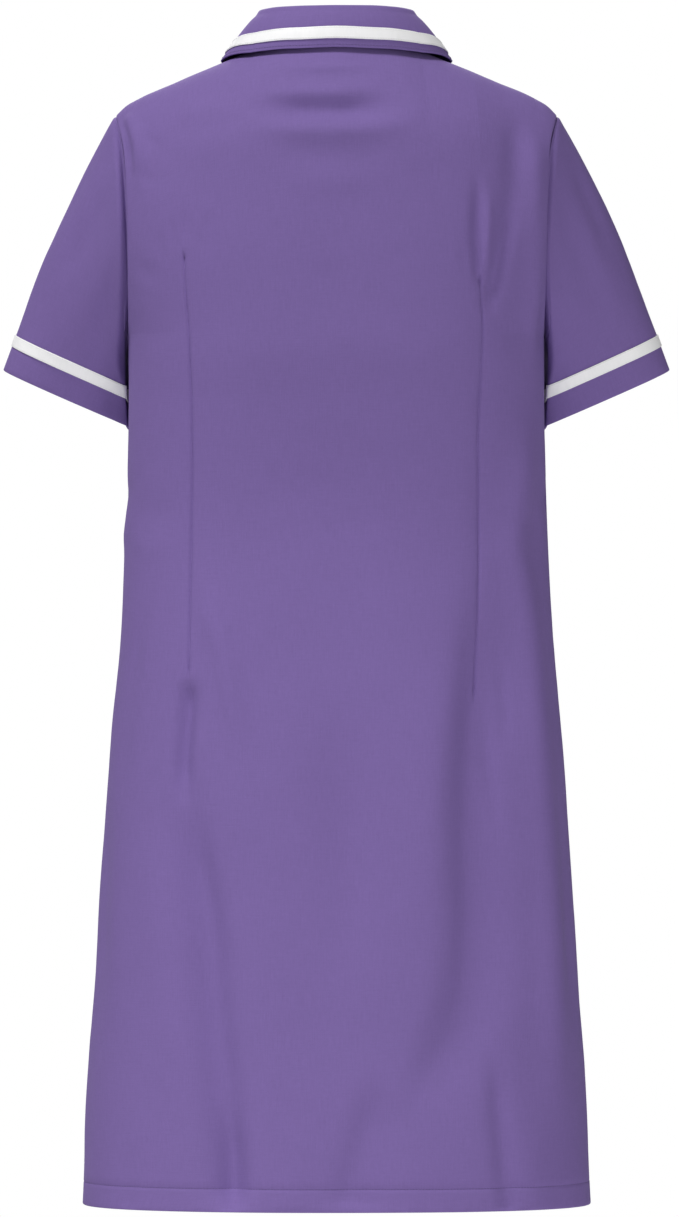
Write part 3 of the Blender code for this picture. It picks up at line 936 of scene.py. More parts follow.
@dataclass(frozen=True)
class SatinFinish:
    """A narrow satin tape: fine ribs across it, and a soft gloss."""

    name: str
    colour: tuple[float, float, float]
    rib: float = 0.00042
    rib_height: float = 0.00005
    pucker_height: float = 0.00018
    thread_scale: tuple[float, float] = (260.0, 1900.0)
    thread_depth: float = 0.018
    pucker_scale: tuple[float, float] = (330.0, 70.0)
    pucker_depth: float = 0.030
    roughness: float = 0.42
    rough_depth: float = 0.06

    def build(self) -> bpy.types.Material:
        """Makes the material."""
        shader = Shader(self.name)
        u, v = shader.flat_place()
        rib = (v * (math.pi / self.rib)).sine().size()
        (thread_u, thread_v), (pucker_u, pucker_v) = self.thread_scale, self.pucker_scale
        thread = shader.mottle(shader.join(u * thread_u, v * thread_v, 0), 1.0)
        pucker = shader.mottle(shader.join(u * pucker_u, v * pucker_v, 3), 1.0)
        factor = 1 + thread * self.thread_depth + pucker * self.pucker_depth
        height = rib * (self.rib_height / self.pucker_height) + pucker
        return shader.dress(
            Base_Color=shader.shaded(self.colour, factor),
            Normal=shader.bump(height, self.pucker_height, 0.7),
            Roughness=self.roughness + thread * self.rough_depth,
            Metallic=0.0,
            Sheen_Weight=0.05,
            Specular_IOR_Level=0.45,
        )


@dataclass(frozen=True)
class ThreadFinish:
    """Sewing thread, with a slight twist."""

    name: str
    colour: tuple[float, float, float]
    twist_scale: float = 2600.0
    twist_depth: float = 0.10
    twist_height: float = 0.00004
    roughness: float = 0.62

    def build(self) -> bpy.types.Material:
        """Makes the material."""
        shader = Shader(self.name)
        place = shader.node("ShaderNodeTexCoord", output="Object")
        twist = shader.mottle(place, self.twist_scale, 1.0)
        return shader.dress(
            Base_Color=shader.shaded(self.colour, 1 + twist * self.twist_depth),
            Normal=shader.bump(twist, self.twist_height, 0.6),
            Roughness=self.roughness + twist * 0.05,
            Metallic=0.0,
            Sheen_Weight=0.1,
            Specular_IOR_Level=0.3,
        )


@dataclass(frozen=True)
class ButtonFinish:
    """Moulded, slightly clouded button plastic."""

    name: str
    colour: tuple[float, float, float]
    cloud_scale: float = 240.0
    cloud_depth: float = 0.14
    grain_scale: float = 3360.0
    grain_depth: float = 0.03
    grain_height: float = 0.00002
    roughness: float = 0.30

    def build(self) -> bpy.types.Material:
        """Makes the material."""
        shader = Shader(self.name)
        place = shader.node("ShaderNodeTexCoord", output="Object")
        cloud = shader.mottle(place, self.cloud_scale, 3.0)
        grain = shader.mottle(place, self.grain_scale, 2.0)
        factor = 1 + cloud * self.cloud_depth + grain * self.grain_depth
        return shader.dress(
            Base_Color=shader.shaded(self.colour, factor),
            Normal=shader.bump(grain, self.grain_height, 0.5),
            Roughness=self.roughness + cloud * 0.06 + grain * 0.03,
            Metallic=0.0,
            Coat_Weight=0.15,
            Specular_IOR_Level=0.5,
        )


@dataclass(frozen=True)
class Wardrobe:
    """Every finish of the dress."""

    cloth: bpy.types.Material
    tape: bpy.types.Material
    self_thread: bpy.types.Material
    white_thread: bpy.types.Material
    button: bpy.types.Material

    @classmethod
    def make(cls) -> "Wardrobe":
        """Makes the materials."""
        return cls(
            cloth=WovenFinish("plain_weave_cloth", (0.184, 0.123, 0.336)).build(),
            tape=SatinFinish("white_satin_tape", (0.93, 0.93, 0.935)).build(),
            self_thread=ThreadFinish("matching_thread", (0.120, 0.080, 0.225)).build(),
            white_thread=ThreadFinish("white_thread", (0.80, 0.80, 0.80)).build(),
            button=ButtonFinish("matching_button", (0.150, 0.100, 0.275)).build(),
        )


class Graph:
    """A Geometry Nodes tree with named inputs, built in code."""

    def __init__(self, name: str, sizes: dict[str, float], seed: int = 0) -> None:
        """Starts a tree that takes a mesh.

        Args:
            name: The tree's name.
            sizes: Its named sizes.
            seed: The seed of anything random in it.
        """
        self.tree = bpy.data.node_groups.new(name, "GeometryNodeTree")
        face = self.tree.interface
        face.new_socket("Geometry", in_out="INPUT", socket_type="NodeSocketGeometry")
        face.new_socket("Geometry", in_out="OUTPUT", socket_type="NodeSocketGeometry")
        self.keys: dict[str, tuple[str, Any]] = {}
        for label, value in sizes.items():
            made = face.new_socket(label, in_out="INPUT", socket_type="NodeSocketFloat")
            self.keys[label] = (made.identifier, float(value))
        made = face.new_socket("Seed", in_out="INPUT", socket_type="NodeSocketInt")
        self.keys["Seed"] = (made.identifier, int(seed))
        made = face.new_socket("Finish", in_out="INPUT", socket_type="NodeSocketMaterial")
        self.finish_key = made.identifier
        self.entry = self.tree.nodes.new("NodeGroupInput")
        self.exit = self.tree.nodes.new("NodeGroupOutput")

    def size(self, name: str) -> bpy.types.NodeSocket:
        """The socket of a named input."""
        return self.entry.outputs[name]

    def add(
        self, kind: str, settings: dict[str, Any], inputs: dict[Any, Any], output: Any = 0
    ) -> bpy.types.NodeSocket:
        """Adds a node as make_node() does, and gives the wanted one of its outputs."""
        return make_node(self.tree, kind, settings, inputs).outputs[output]

    def close(self, instances: bpy.types.NodeSocket) -> None:
        """Ends the tree: instances are made real, smooth, and given their finish."""
        real = self.add("GeometryNodeRealizeInstances", {}, {"Geometry": instances})
        smooth = self.add("GeometryNodeSetShadeSmooth", {}, {"Geometry": real})
        inputs = {"Geometry": smooth, "Material": self.size("Finish")}
        done = self.add("GeometryNodeSetMaterial", {}, inputs)
        self.tree.links.new(done, self.exit.inputs["Geometry"])

    def grow(self, name: str, base: bpy.types.Mesh, finish: bpy.types.Material) -> bpy.types.Object:
        """Runs the tree on a mesh and keeps its result as a plain mesh.

        Args:
            name: The new piece's name.
            base: The mesh that the tree takes.
            finish: The result's material.

        Returns:
            The piece.
        """
        carrier = bpy.data.objects.new(name + "_carrier", base)
        bpy.context.scene.collection.objects.link(carrier)
        modifier = carrier.modifiers.new("Grow", "NODES")
        modifier.node_group = self.tree
        for key, value in self.keys.values():
            modifier[key] = value
        modifier[self.finish_key] = finish
        graph = bpy.context.evaluated_depsgraph_get()
        made = bpy.data.meshes.new_from_object(carrier.evaluated_get(graph), depsgraph=graph)
        bpy.data.objects.remove(carrier, do_unlink=True)
        made.name = name
        return Maker.add(name, made, finish)


@dataclass(frozen=True)
class Stitching:
    """A run of machine stitches along lines on the cloth."""

    pitch: float = 0.0028
    fill: float = 0.80
    width: float = 0.00050
    wobble: float = 0.07
    seed: int = 1

    def graph(self, name: str) -> Graph:
        """The tree that sets one stitch after another along each line."""
        sizes = {
            "Pitch": self.pitch,
            "Length": self.pitch * self.fill,
            "Width": self.width,
            "Wobble": self.wobble,
        }
        graph = Graph(name, sizes, self.seed)
        line = graph.add("GeometryNodeMeshToCurve", {}, {"Mesh": graph.size("Geometry")})
        inputs = {"Curve": line, "Length": graph.size("Pitch")}
        line = graph.add("GeometryNodeResampleCurve", {"mode": "LENGTH"}, inputs)
        stitch = graph.add(
            "GeometryNodeMeshUVSphere", {}, {"Segments": 6, "Rings": 4, "Radius": 0.5}
        )
        inputs = {"X": graph.size("Length"), "Y": graph.size("Width"), "Z": graph.size("Width")}
        scale = graph.add("ShaderNodeCombineXYZ", {}, inputs)
        stitch = graph.add("GeometryNodeTransform", {}, {"Geometry": stitch, "Scale": scale})
        along = graph.add("GeometryNodeInputTangent", {}, {})
        inputs = {"Vector": along}
        aim = graph.add("FunctionNodeAlignRotationToVector", {"axis": "X"}, inputs)
        less = graph.add(
            "ShaderNodeMath", {"operation": "MULTIPLY"}, {0: graph.size("Wobble"), 1: -1.0}
        )
        low = graph.add("ShaderNodeCombineXYZ", {}, dict.fromkeys("XYZ", less))
        high = graph.add("ShaderNodeCombineXYZ", {}, dict.fromkeys("XYZ", graph.size("Wobble")))
        inputs = {"Min": low, "Max": high, "Seed": graph.size("Seed")}
        jitter = graph.add("FunctionNodeRandomValue", {"data_type": "FLOAT_VECTOR"}, inputs)
        inputs = {"Rotation": aim, "Rotate By": jitter}
        aim = graph.add("FunctionNodeRotateRotation", {"rotation_space": "LOCAL"}, inputs)
        inputs = {"Points": line, "Instance": stitch, "Rotation": aim}
        graph.close(graph.add("GeometryNodeInstanceOnPoints", {}, inputs))
        return graph

    def sew(
        self, name: str, lines: Sequence[np.ndarray], thread: bpy.types.Material
    ) -> bpy.types.Object:
        """Sews along lines.

        Args:
            name: The piece's name.
            lines: Chains of points, a little proud of the cloth.
            thread: The thread's material.

        Returns:
            The piece.
        """
        points: list[list[float]] = []
        edges: list[tuple[int, int]] = []
        for line in lines:
            start = len(points)
            points += line.tolist()
            edges += [(i, i + 1) for i in range(start, len(points) - 1)]
        base = bpy.data.meshes.new(name)
        base.from_pydata(points, edges, [])
        piece = self.graph(name).grow(name, base, thread)
        Maker.settle(piece, "cloth" if "matching" in thread.name else "tape")
        return piece


# Creases of the back and the fronts. Places are (x, z) as seen from the back or the front, and
# (y, z) as seen from a side.
BACK_CREASES = (
    # Across the nape, under the collar
    Crease(((0.062, -0.007), (0.02, -0.0088), (-0.016, -0.0086), (-0.04, -0.007)), 0.0022, 0.0042),
    Crease(
        ((0.078, -0.03), (0.048, -0.0322), (0.012, -0.0328), (-0.02, -0.0318), (-0.048, -0.028)),
        0.004, 0.0078,
    ),
    Crease(
        ((0.09, -0.043), (0.05, -0.0475), (0.01, -0.0485), (-0.03, -0.0475), (-0.07, -0.042)),
        -0.0066, 0.013,
    ),
    Crease(
        ((0.092, -0.06), (0.05, -0.064), (0.005, -0.0648), (-0.04, -0.064), (-0.08, -0.059)),
        0.0046, 0.0104,
    ),
    Crease(((0.07, -0.085), (0.02, -0.088), (-0.03, -0.087), (-0.06, -0.084)), -0.0009, 0.012),
    Crease(((0.06, -0.108), (0.015, -0.112), (-0.025, -0.111), (-0.055, -0.107)), 0.0012, 0.012),
    # Over the shoulder blades
    Crease(
        ((0.165, -0.072), (0.08, -0.066), (0.0, -0.062), (-0.08, -0.064), (-0.165, -0.072)),
        0.0046, 0.036, 0.2, 0.2,
    ),
    Crease(((0.148, -0.046), (0.115, -0.045), (0.082, -0.043)), 0.0012, 0.009),
    Crease(((0.15, -0.066), (0.11, -0.064), (0.08, -0.062)), -0.001, 0.009),
    # Beside the left armhole's seam, and drawn from it
    Crease(
        ((0.1935, -0.048), (0.1875, -0.064), (0.1845, -0.085), (0.1835, -0.115)),
        -0.0028, 0.0038, 0.2, 0.5,
    ),
    Crease(
        ((0.19, -0.047), (0.185, -0.058), (0.177, -0.078), (0.176, -0.1), (0.177, -0.125)),
        0.0038, 0.0085, 0.15, 0.5,
    ),
    Crease(((0.176, -0.062), (0.164, -0.074), (0.15, -0.08)), -0.0009, 0.0055),
    Crease(((0.186, -0.094), (0.172, -0.104), (0.15, -0.112)), -0.0009, 0.0065),
    Crease(((0.186, -0.175), (0.17, -0.19), (0.152, -0.196)), -0.0009, 0.0085),
    # Beside the right armhole's seam, and the hollow inside it
    Crease(
        ((-0.174, -0.054), (-0.178, -0.1), (-0.178, -0.15), (-0.176, -0.2), (-0.173, -0.25),
         (-0.175, -0.3)),
        0.0042, 0.0125, 0.18, 0.35,
    ),
    Crease(((-0.16, -0.04), (-0.16, -0.08), (-0.158, -0.115), (-0.155, -0.15)), -0.0026, 0.013),
    Crease(((-0.184, -0.15), (-0.172, -0.166), (-0.158, -0.176)), -0.0008, 0.008),
    # Fans over the darts
    Crease(
        ((-0.125, -0.095), (-0.1256, -0.127), (-0.125, -0.154), (-0.1262, -0.185), (-0.128, -0.212)),
        -0.004, 0.0054, 0.4, 0.25,
    ),
    Crease(
        ((-0.135, -0.112), (-0.1356, -0.14), (-0.135, -0.17), (-0.1322, -0.204)),
        0.0018, 0.0048, 0.35, 0.3,
    ),
    Crease(
        ((-0.1555, -0.105), (-0.1549, -0.127), (-0.1515, -0.154), (-0.1442, -0.185), (-0.1372, -0.216),
         (-0.133, -0.236)),
        -0.0054, 0.0092, 0.35, 0.25, 2.0, -0.1,
    ),
    Crease(((-0.1125, -0.168), (-0.113, -0.182), (-0.114, -0.198)), -0.0008, 0.0034),
    Crease(((0.1356, -0.132), (0.135, -0.148), (0.1345, -0.17)), -0.0009, 0.0038),
    Crease(((0.1475, -0.138), (0.146, -0.154), (0.142, -0.174)), -0.0008, 0.004),
    Crease(((0.16, -0.148), (0.158, -0.166), (0.154, -0.184)), -0.0008, 0.0048),
    Crease(((0.1165, -0.14), (0.118, -0.158), (0.121, -0.178)), -0.0008, 0.0048),
    # At the waist, beside the darts
    Crease(((0.187, -0.395), (0.162, -0.405), (0.136, -0.402)), -0.0012, 0.01),
    Crease(((0.188, -0.43), (0.165, -0.436), (0.14, -0.432)), 0.001, 0.011),
    Crease(((-0.187, -0.402), (-0.16, -0.414), (-0.136, -0.41)), -0.0012, 0.011),
    Crease(((0.09, -0.372), (0.03, -0.384), (-0.04, -0.376)), -0.0008, 0.018),
    Crease(((0.08, -0.43), (0.01, -0.444), (-0.07, -0.432)), 0.0007, 0.018),
    # Under the left dart
    Crease(
        ((0.1322, -0.55), (0.135, -0.5889), (0.1372, -0.6244), (0.1376, -0.675)),
        -0.008, 0.0088, 0.16, 0.4,
    ),
    Crease(
        ((0.1149, -0.447), (0.1131, -0.4825), (0.1016, -0.5268), (0.0901, -0.58), (0.0812, -0.6244)),
        0.005, 0.0125,
    ),
    Crease(((0.117, -0.52), (0.115, -0.56), (0.113, -0.6)), 0.0009, 0.0045),
    Crease(((0.1602, -0.4736), (0.1762, -0.518), (0.1815, -0.5712)), -0.0014, 0.0085),
    # The left fold, down through the hem
    Crease(
        ((0.131, -0.615), (0.1275, -0.7043), (0.114, -0.7753), (0.11, -0.8374), (0.103, -0.8995),
         (0.096, -0.9617), (0.0925, -1.006), (0.091, -1.03)),
        -0.0112, 0.019, 0.3, 0.06, 2.0, -0.1,
    ),
    Crease(
        ((0.099, -0.925), (0.0945, -0.966), (0.0925, -1.006), (0.091, -1.03)),
        -0.0044, 0.0105, 0.5, 0.03,
    ),
    Crease(((0.162, -0.66), (0.16, -0.76), (0.15, -0.86), (0.138, -0.96)), 0.0026, 0.022),
    Crease(((0.078, -0.7), (0.066, -0.82), (0.052, -0.92), (0.044, -1.0)), 0.002, 0.022),
    # The right fold
    Crease(
        ((-0.1309, -0.447), (-0.1309, -0.4914), (-0.1291, -0.5357), (-0.1256, -0.5889),
         (-0.1202, -0.6511), (-0.1202, -0.7132), (-0.122, -0.7753), (-0.1167, -0.8197),
         (-0.1025, -0.864), (-0.0847, -0.904), (-0.0723, -0.935), (-0.064, -0.965)),
        -0.0122, 0.028, 0.26, 0.3, 2.0, 0.34,
    ),
    Crease(((-0.088, -0.52), (-0.086, -0.62), (-0.082, -0.72), (-0.072, -0.83)), 0.0024, 0.022),
    Crease(((-0.145, -0.518), (-0.152, -0.571), (-0.154, -0.624)), -0.0014, 0.006),
    Crease(((-0.133, -0.571), (-0.1415, -0.651), (-0.15, -0.704)), -0.0016, 0.0062),
    # Along the right side
    Crease(
        ((-0.168, -0.3), (-0.166, -0.36), (-0.16, -0.41), (-0.158, -0.44), (-0.166, -0.474),
         (-0.1735, -0.536), (-0.1795, -0.607), (-0.184, -0.678), (-0.1895, -0.749), (-0.1921, -0.82),
         (-0.1948, -0.891), (-0.1983, -0.971)),
        0.0068, 0.017, 0.12, 0.2,
    ),
    # Short folds over the hem
    Crease(
        ((-0.136, -0.878), (-0.1424, -0.912), (-0.1451, -0.944), (-0.148, -0.978), (-0.1522, -1.03)),
        -0.0044, 0.01, 0.35, 0.02, 1.8, 0.1,
    ),
    Crease(((-0.172, -0.95), (-0.176, -0.992), (-0.178, -1.03)), 0.0012, 0.013, 0.4, 0.05),
    Crease(
        ((-0.0492, -0.908), (-0.0315, -0.935), (-0.025, -0.962), (-0.012, -1.006), (-0.01, -1.03)),
        -0.0044, 0.023, 0.35, 0.1, 2.0, 0.35,
    ),
    # A long shallow hollow down the middle of the skirt
    Crease(((-0.004, -0.54), (-0.008, -0.64), (-0.01, -0.75), (-0.012, -0.85)), -0.0062, 0.032),
    Crease(((0.03, -0.94), (0.036, -0.985), (0.038, -1.03)), 0.0012, 0.015, 0.4, 0.05),
    Crease(((0.182, -0.96), (0.186, -0.996), (0.188, -1.03)), -0.0012, 0.012, 0.4, 0.05),
    # Beside the left side seam
    Crease(((0.18, -0.5), (0.186, -0.58), (0.192, -0.68)), -0.0014, 0.015),
)
FRONT_CREASES = (
    # From the collar's points and the shoulders
    Crease(((0.07, -0.06), (0.082, -0.1), (0.088, -0.15)), 0.0014, 0.011),
    Crease(((0.11, -0.028), (0.112, -0.07), (0.106, -0.118)), -0.0015, 0.01),
    Crease(((-0.072, -0.066), (-0.086, -0.11), (-0.09, -0.16)), 0.0012, 0.012),
    Crease(((-0.116, -0.032), (-0.114, -0.078), (-0.104, -0.124)), -0.0016, 0.01),
    # Drawn from the armholes towards the chest
    Crease(((0.186, -0.16), (0.164, -0.176), (0.136, -0.186)), -0.0016, 0.008),
    Crease(((0.187, -0.196), (0.16, -0.212), (0.128, -0.22)), 0.0014, 0.01),
    Crease(((0.187, -0.225), (0.16, -0.246), (0.126, -0.262)), -0.0015, 0.0095),
    Crease(((-0.186, -0.15), (-0.166, -0.168), (-0.14, -0.18)), -0.0014, 0.008),
    Crease(((-0.187, -0.205), (-0.162, -0.226), (-0.13, -0.238)), -0.0018, 0.01),
    Crease(((-0.187, -0.18), (-0.16, -0.196), (-0.134, -0.206)), 0.0012, 0.009),
    # Fans over and under the darts
    Crease(((0.098, -0.236), (0.096, -0.262), (0.094, -0.292)), -0.0015, 0.0065),
    Crease(((0.084, -0.24), (0.087, -0.264), (0.091, -0.29)), 0.0011, 0.0055),
    Crease(((0.112, -0.232), (0.106, -0.262), (0.098, -0.296)), -0.0012, 0.007),
    Crease(((-0.1, -0.23), (-0.097, -0.26), (-0.094, -0.294)), -0.0016, 0.0065),
    Crease(((-0.082, -0.238), (-0.086, -0.262), (-0.09, -0.29)), 0.0011, 0.0055),
    Crease(((0.1, -0.545), (0.11, -0.6), (0.118, -0.66)), -0.0012, 0.0095),
    Crease(((-0.098, -0.548), (-0.106, -0.596), (-0.112, -0.652)), -0.0012, 0.0095),
    # Across the waist
    Crease(((0.18, -0.392), (0.14, -0.408), (0.1, -0.402)), -0.0014, 0.012),
    Crease(((0.182, -0.432), (0.146, -0.44), (0.104, -0.434)), 0.0012, 0.012),
    Crease(((-0.18, -0.4), (-0.144, -0.414), (-0.102, -0.408)), -0.0015, 0.012),
    Crease(((-0.08, -0.42), (-0.05, -0.428), (-0.022, -0.424)), -0.0008, 0.011),
    Crease(((0.08, -0.38), (0.052, -0.39), (0.026, -0.386)), 0.0008, 0.011),
    # Between the buttons
    Crease(((-0.004, -0.242), (-0.03, -0.25), (-0.06, -0.246)), -0.0008, 0.009),
    Crease(((-0.004, -0.452), (-0.032, -0.462), (-0.058, -0.458)), 0.0008, 0.01),
    Crease(((-0.004, -0.668), (-0.034, -0.676), (-0.066, -0.69)), -0.0009, 0.011),
    # Long soft folds of the skirt
    Crease(
        ((0.1, -0.565), (0.11, -0.66), (0.112, -0.76), (0.104, -0.85), (0.11, -0.94)),
        -0.0061, 0.02, 0.28, 0.3, 2.0, -0.2,
    ),
    Crease(((0.134, -0.6), (0.142, -0.7), (0.144, -0.8), (0.14, -0.89)), 0.0029, 0.022),
    Crease(((0.07, -0.62), (0.068, -0.74), (0.074, -0.84)), 0.0016, 0.023),
    Crease(
        ((-0.098, -0.56), (-0.104, -0.64), (-0.114, -0.74), (-0.124, -0.86), (-0.12, -0.96)),
        -0.0065, 0.02, 0.28, 0.26, 2.0, 0.2,
    ),
    Crease(((-0.07, -0.6), (-0.074, -0.7), (-0.082, -0.81)), 0.0019, 0.023),
    Crease(((-0.148, -0.64), (-0.154, -0.74), (-0.16, -0.85)), 0.0026, 0.022),
    Crease(((0.056, -0.9), (0.05, -0.96), (0.048, -1.03)), -0.0031, 0.013, 0.4, 0.05),
    Crease(((0.15, -0.92), (0.156, -0.975), (0.158, -1.03)), -0.0034, 0.011, 0.4, 0.05),
    Crease(((-0.062, -0.91), (-0.056, -0.965), (-0.052, -1.03)), -0.0027, 0.014, 0.4, 0.05),
    Crease(((-0.164, -0.93), (-0.168, -0.98), (-0.17, -1.03)), -0.0031, 0.011, 0.4, 0.05),
    Crease(((0.18, -0.5), (0.186, -0.58), (0.19, -0.66)), -0.0018, 0.015),
    Crease(((-0.18, -0.49), (-0.186, -0.56), (-0.19, -0.65)), -0.0026, 0.015),
)
LEFT_CREASES = (
    Crease(((0.06, -0.372), (0.01, -0.388), (-0.05, -0.38)), -0.0014, 0.012),
    Crease(((0.055, -0.41), (0.0, -0.424), (-0.06, -0.416)), 0.0012, 0.012),
    Crease(((0.03, -0.64), (0.034, -0.76), (0.044, -0.88)), -0.0037, 0.017),
    Crease(((-0.04, -0.7), (-0.036, -0.82), (-0.03, -0.94)), -0.0031, 0.016),
    Crease(((0.004, -0.8), (0.008, -0.9), (0.01, -1.0)), 0.0016, 0.017),
)
RIGHT_CREASES = (
    Crease(((0.058, -0.38), (0.006, -0.392), (-0.052, -0.386)), -0.0015, 0.012),
    Crease(((0.036, -0.66), (0.04, -0.78), (0.036, -0.9)), -0.0034, 0.017),
    Crease(((-0.044, -0.64), (-0.046, -0.76), (-0.038, -0.88)), -0.0037, 0.016),
    Crease(((-0.004, -0.84), (0.002, -0.93), (0.004, -1.01)), 0.0016, 0.016),
)


class DartPlan(NamedTuple):
    """A dart's seam on one side of the dress, from its lower to its upper end."""

    side: Side
    hand: int
    low_z: float
    top_z: float


DARTS = (
    DartPlan(Side.BACK, 1, -0.548, -0.174),
    DartPlan(Side.BACK, -1, -0.568, -0.195),
    DartPlan(Side.FRONT, 1, -0.540, -0.300),
    DartPlan(Side.FRONT, -1, -0.540, -0.300),
)


@dataclass
class DressedForm:
    """The body's form with every crease laid on it."""

    form: BodyForm = field(default_factory=BodyForm)
    dart_depth: float = 0.0014
    dart_width: float = 0.0014
    dart_hollow: float = 0.0016
    dart_hollow_width: float = 0.0090
    slit_depth: float = 0.0024
    slit_width: float = 0.0016
    slit_length: float = 0.010
    dart_points: int = 9
    slit_points: int = 4
    look_sigma: float = 0.004
    look_facing: float = 0.12
    look_least: float = 1e-6
    cloud_grid: tuple[int, int] = (161, 261)

    def __post_init__(self) -> None:
        """Lays every crease once."""
        self.clouds = [self._cloud(side) for side in Side]
        tables = (
            (Seen.BACK, BACK_CREASES),
            (Seen.FRONT, FRONT_CREASES),
            (Seen.LEFT, LEFT_CREASES),
            (Seen.RIGHT, RIGHT_CREASES),
        )
        self.lines: list[CreaseLine] = []
        for seen, creases in tables:
            for crease in creases:
                anchors = np.array([self.anchor(seen, *spot) for spot in crease.route])
                self.lines.append(CreaseLine(crease, anchors))
        for dart in DARTS:
            self.lines += self._dart_lines(dart)

    def _cloud(self, side: Side) -> tuple[np.ndarray, np.ndarray]:
        """Points all over one side of the form, with their normals."""
        columns, rows = self.cloud_grid
        shares, climbs = np.meshgrid(np.linspace(-1, 1, columns), np.linspace(0, 2, rows))
        points = self.form.place(side, shares, climbs).reshape(-1, 3)
        return points, self.form.facing(side, shares, climbs).reshape(-1, 3)

    def anchor(self, seen: Seen, across: float, z: float) -> np.ndarray:
        """The point of the form that is seen at a place.

        Args:
            seen: The direction of sight.
            across: The place's x from the back or front, or its y from a side.
            z: The place's height.

        Returns:
            The point.
        """
        towards = np.array([*seen.value, 0.0])
        axis = 0 if seen in (Seen.BACK, Seen.FRONT) else 1
        total = np.zeros(3)
        weight = 0.0
        for points, normals in self.clouds:
            faces = normals @ towards > self.look_facing
            away = (points[:, axis] - across) ** 2 + (points[:, 2] - z) ** 2
            share = np.where(faces, np.exp(-away / (2 * self.look_sigma**2)), 0.0)
            total += share @ points
            weight += float(share.sum())
        if weight < self.look_least:
            points = np.concatenate([points for points, _ in self.clouds])
            away = (points[:, axis] - across) ** 2 + (points[:, 2] - z) ** 2
            return points[int(np.argmin(away))]
        return total / weight

    def _dart_lines(self, dart: DartPlan) -> list[CreaseLine]:
        """A dart's seam, the slits at its ends and the hollow along it."""
        form = self.form
        heights = np.linspace(dart.low_z, dart.top_z, self.dart_points)
        x = form.dart_x(dart.side, heights, dart.hand)
        climbs = self.climb_at(heights)
        share = np.full(len(heights), dart.hand * form.dart_share)
        seam = form.place(dart.side, share, climbs)
        blank = tuple((float(a), float(b)) for a, b in zip(x, heights))
        hollow = Crease(blank, -self.dart_hollow, self.dart_hollow_width, 0.3, 0.3, power=1.5)
        line = Crease(blank, -self.dart_depth, self.dart_width, 0.03, 0.03, power=1.6)
        made = [CreaseLine(hollow, seam), CreaseLine(line, seam)]
        for end, inner in ((dart.top_z, -1), (dart.low_z, 1)):
            count = self.slit_points
            z = end + inner * np.linspace(-0.2, 1.0, count) * self.slit_length
            places = form.place(dart.side, np.full(count, share[0]), self.climb_at(z))
            slit = Crease(blank[:count], -self.slit_depth, self.slit_width, 0.45, 0.5, power=1.6)
            made.append(CreaseLine(slit, places))
        return made

    def climb_at(self, z: np.ndarray) -> np.ndarray:
        """The climb of a height on the dart's column."""
        form = self.form
        low = (z - form.hem_z) / (form.underarm_z - form.hem_z)
        climbs = np.linspace(1, 2, 200)
        column = form.place(Side.BACK, form.dart_share, climbs)[:, 2]
        return np.where(low <= 1, low, np.interp(z, column, climbs))

    def heights(self, points: np.ndarray, normals: np.ndarray) -> np.ndarray:
        """How far the creases and the cloth's unevenness move points of the form.

        Args:
            points: Points of the form, in any grid.
            normals: The form's normals there.

        Returns:
            One height a point, in the same grid.
        """
        flat = points.reshape(-1, 3)
        facing = normals.reshape(-1, 3)
        made = unevenness(flat)
        for line in self.lines:
            made = made + line.heights(flat, facing)
        return made.reshape(points.shape[:-1])


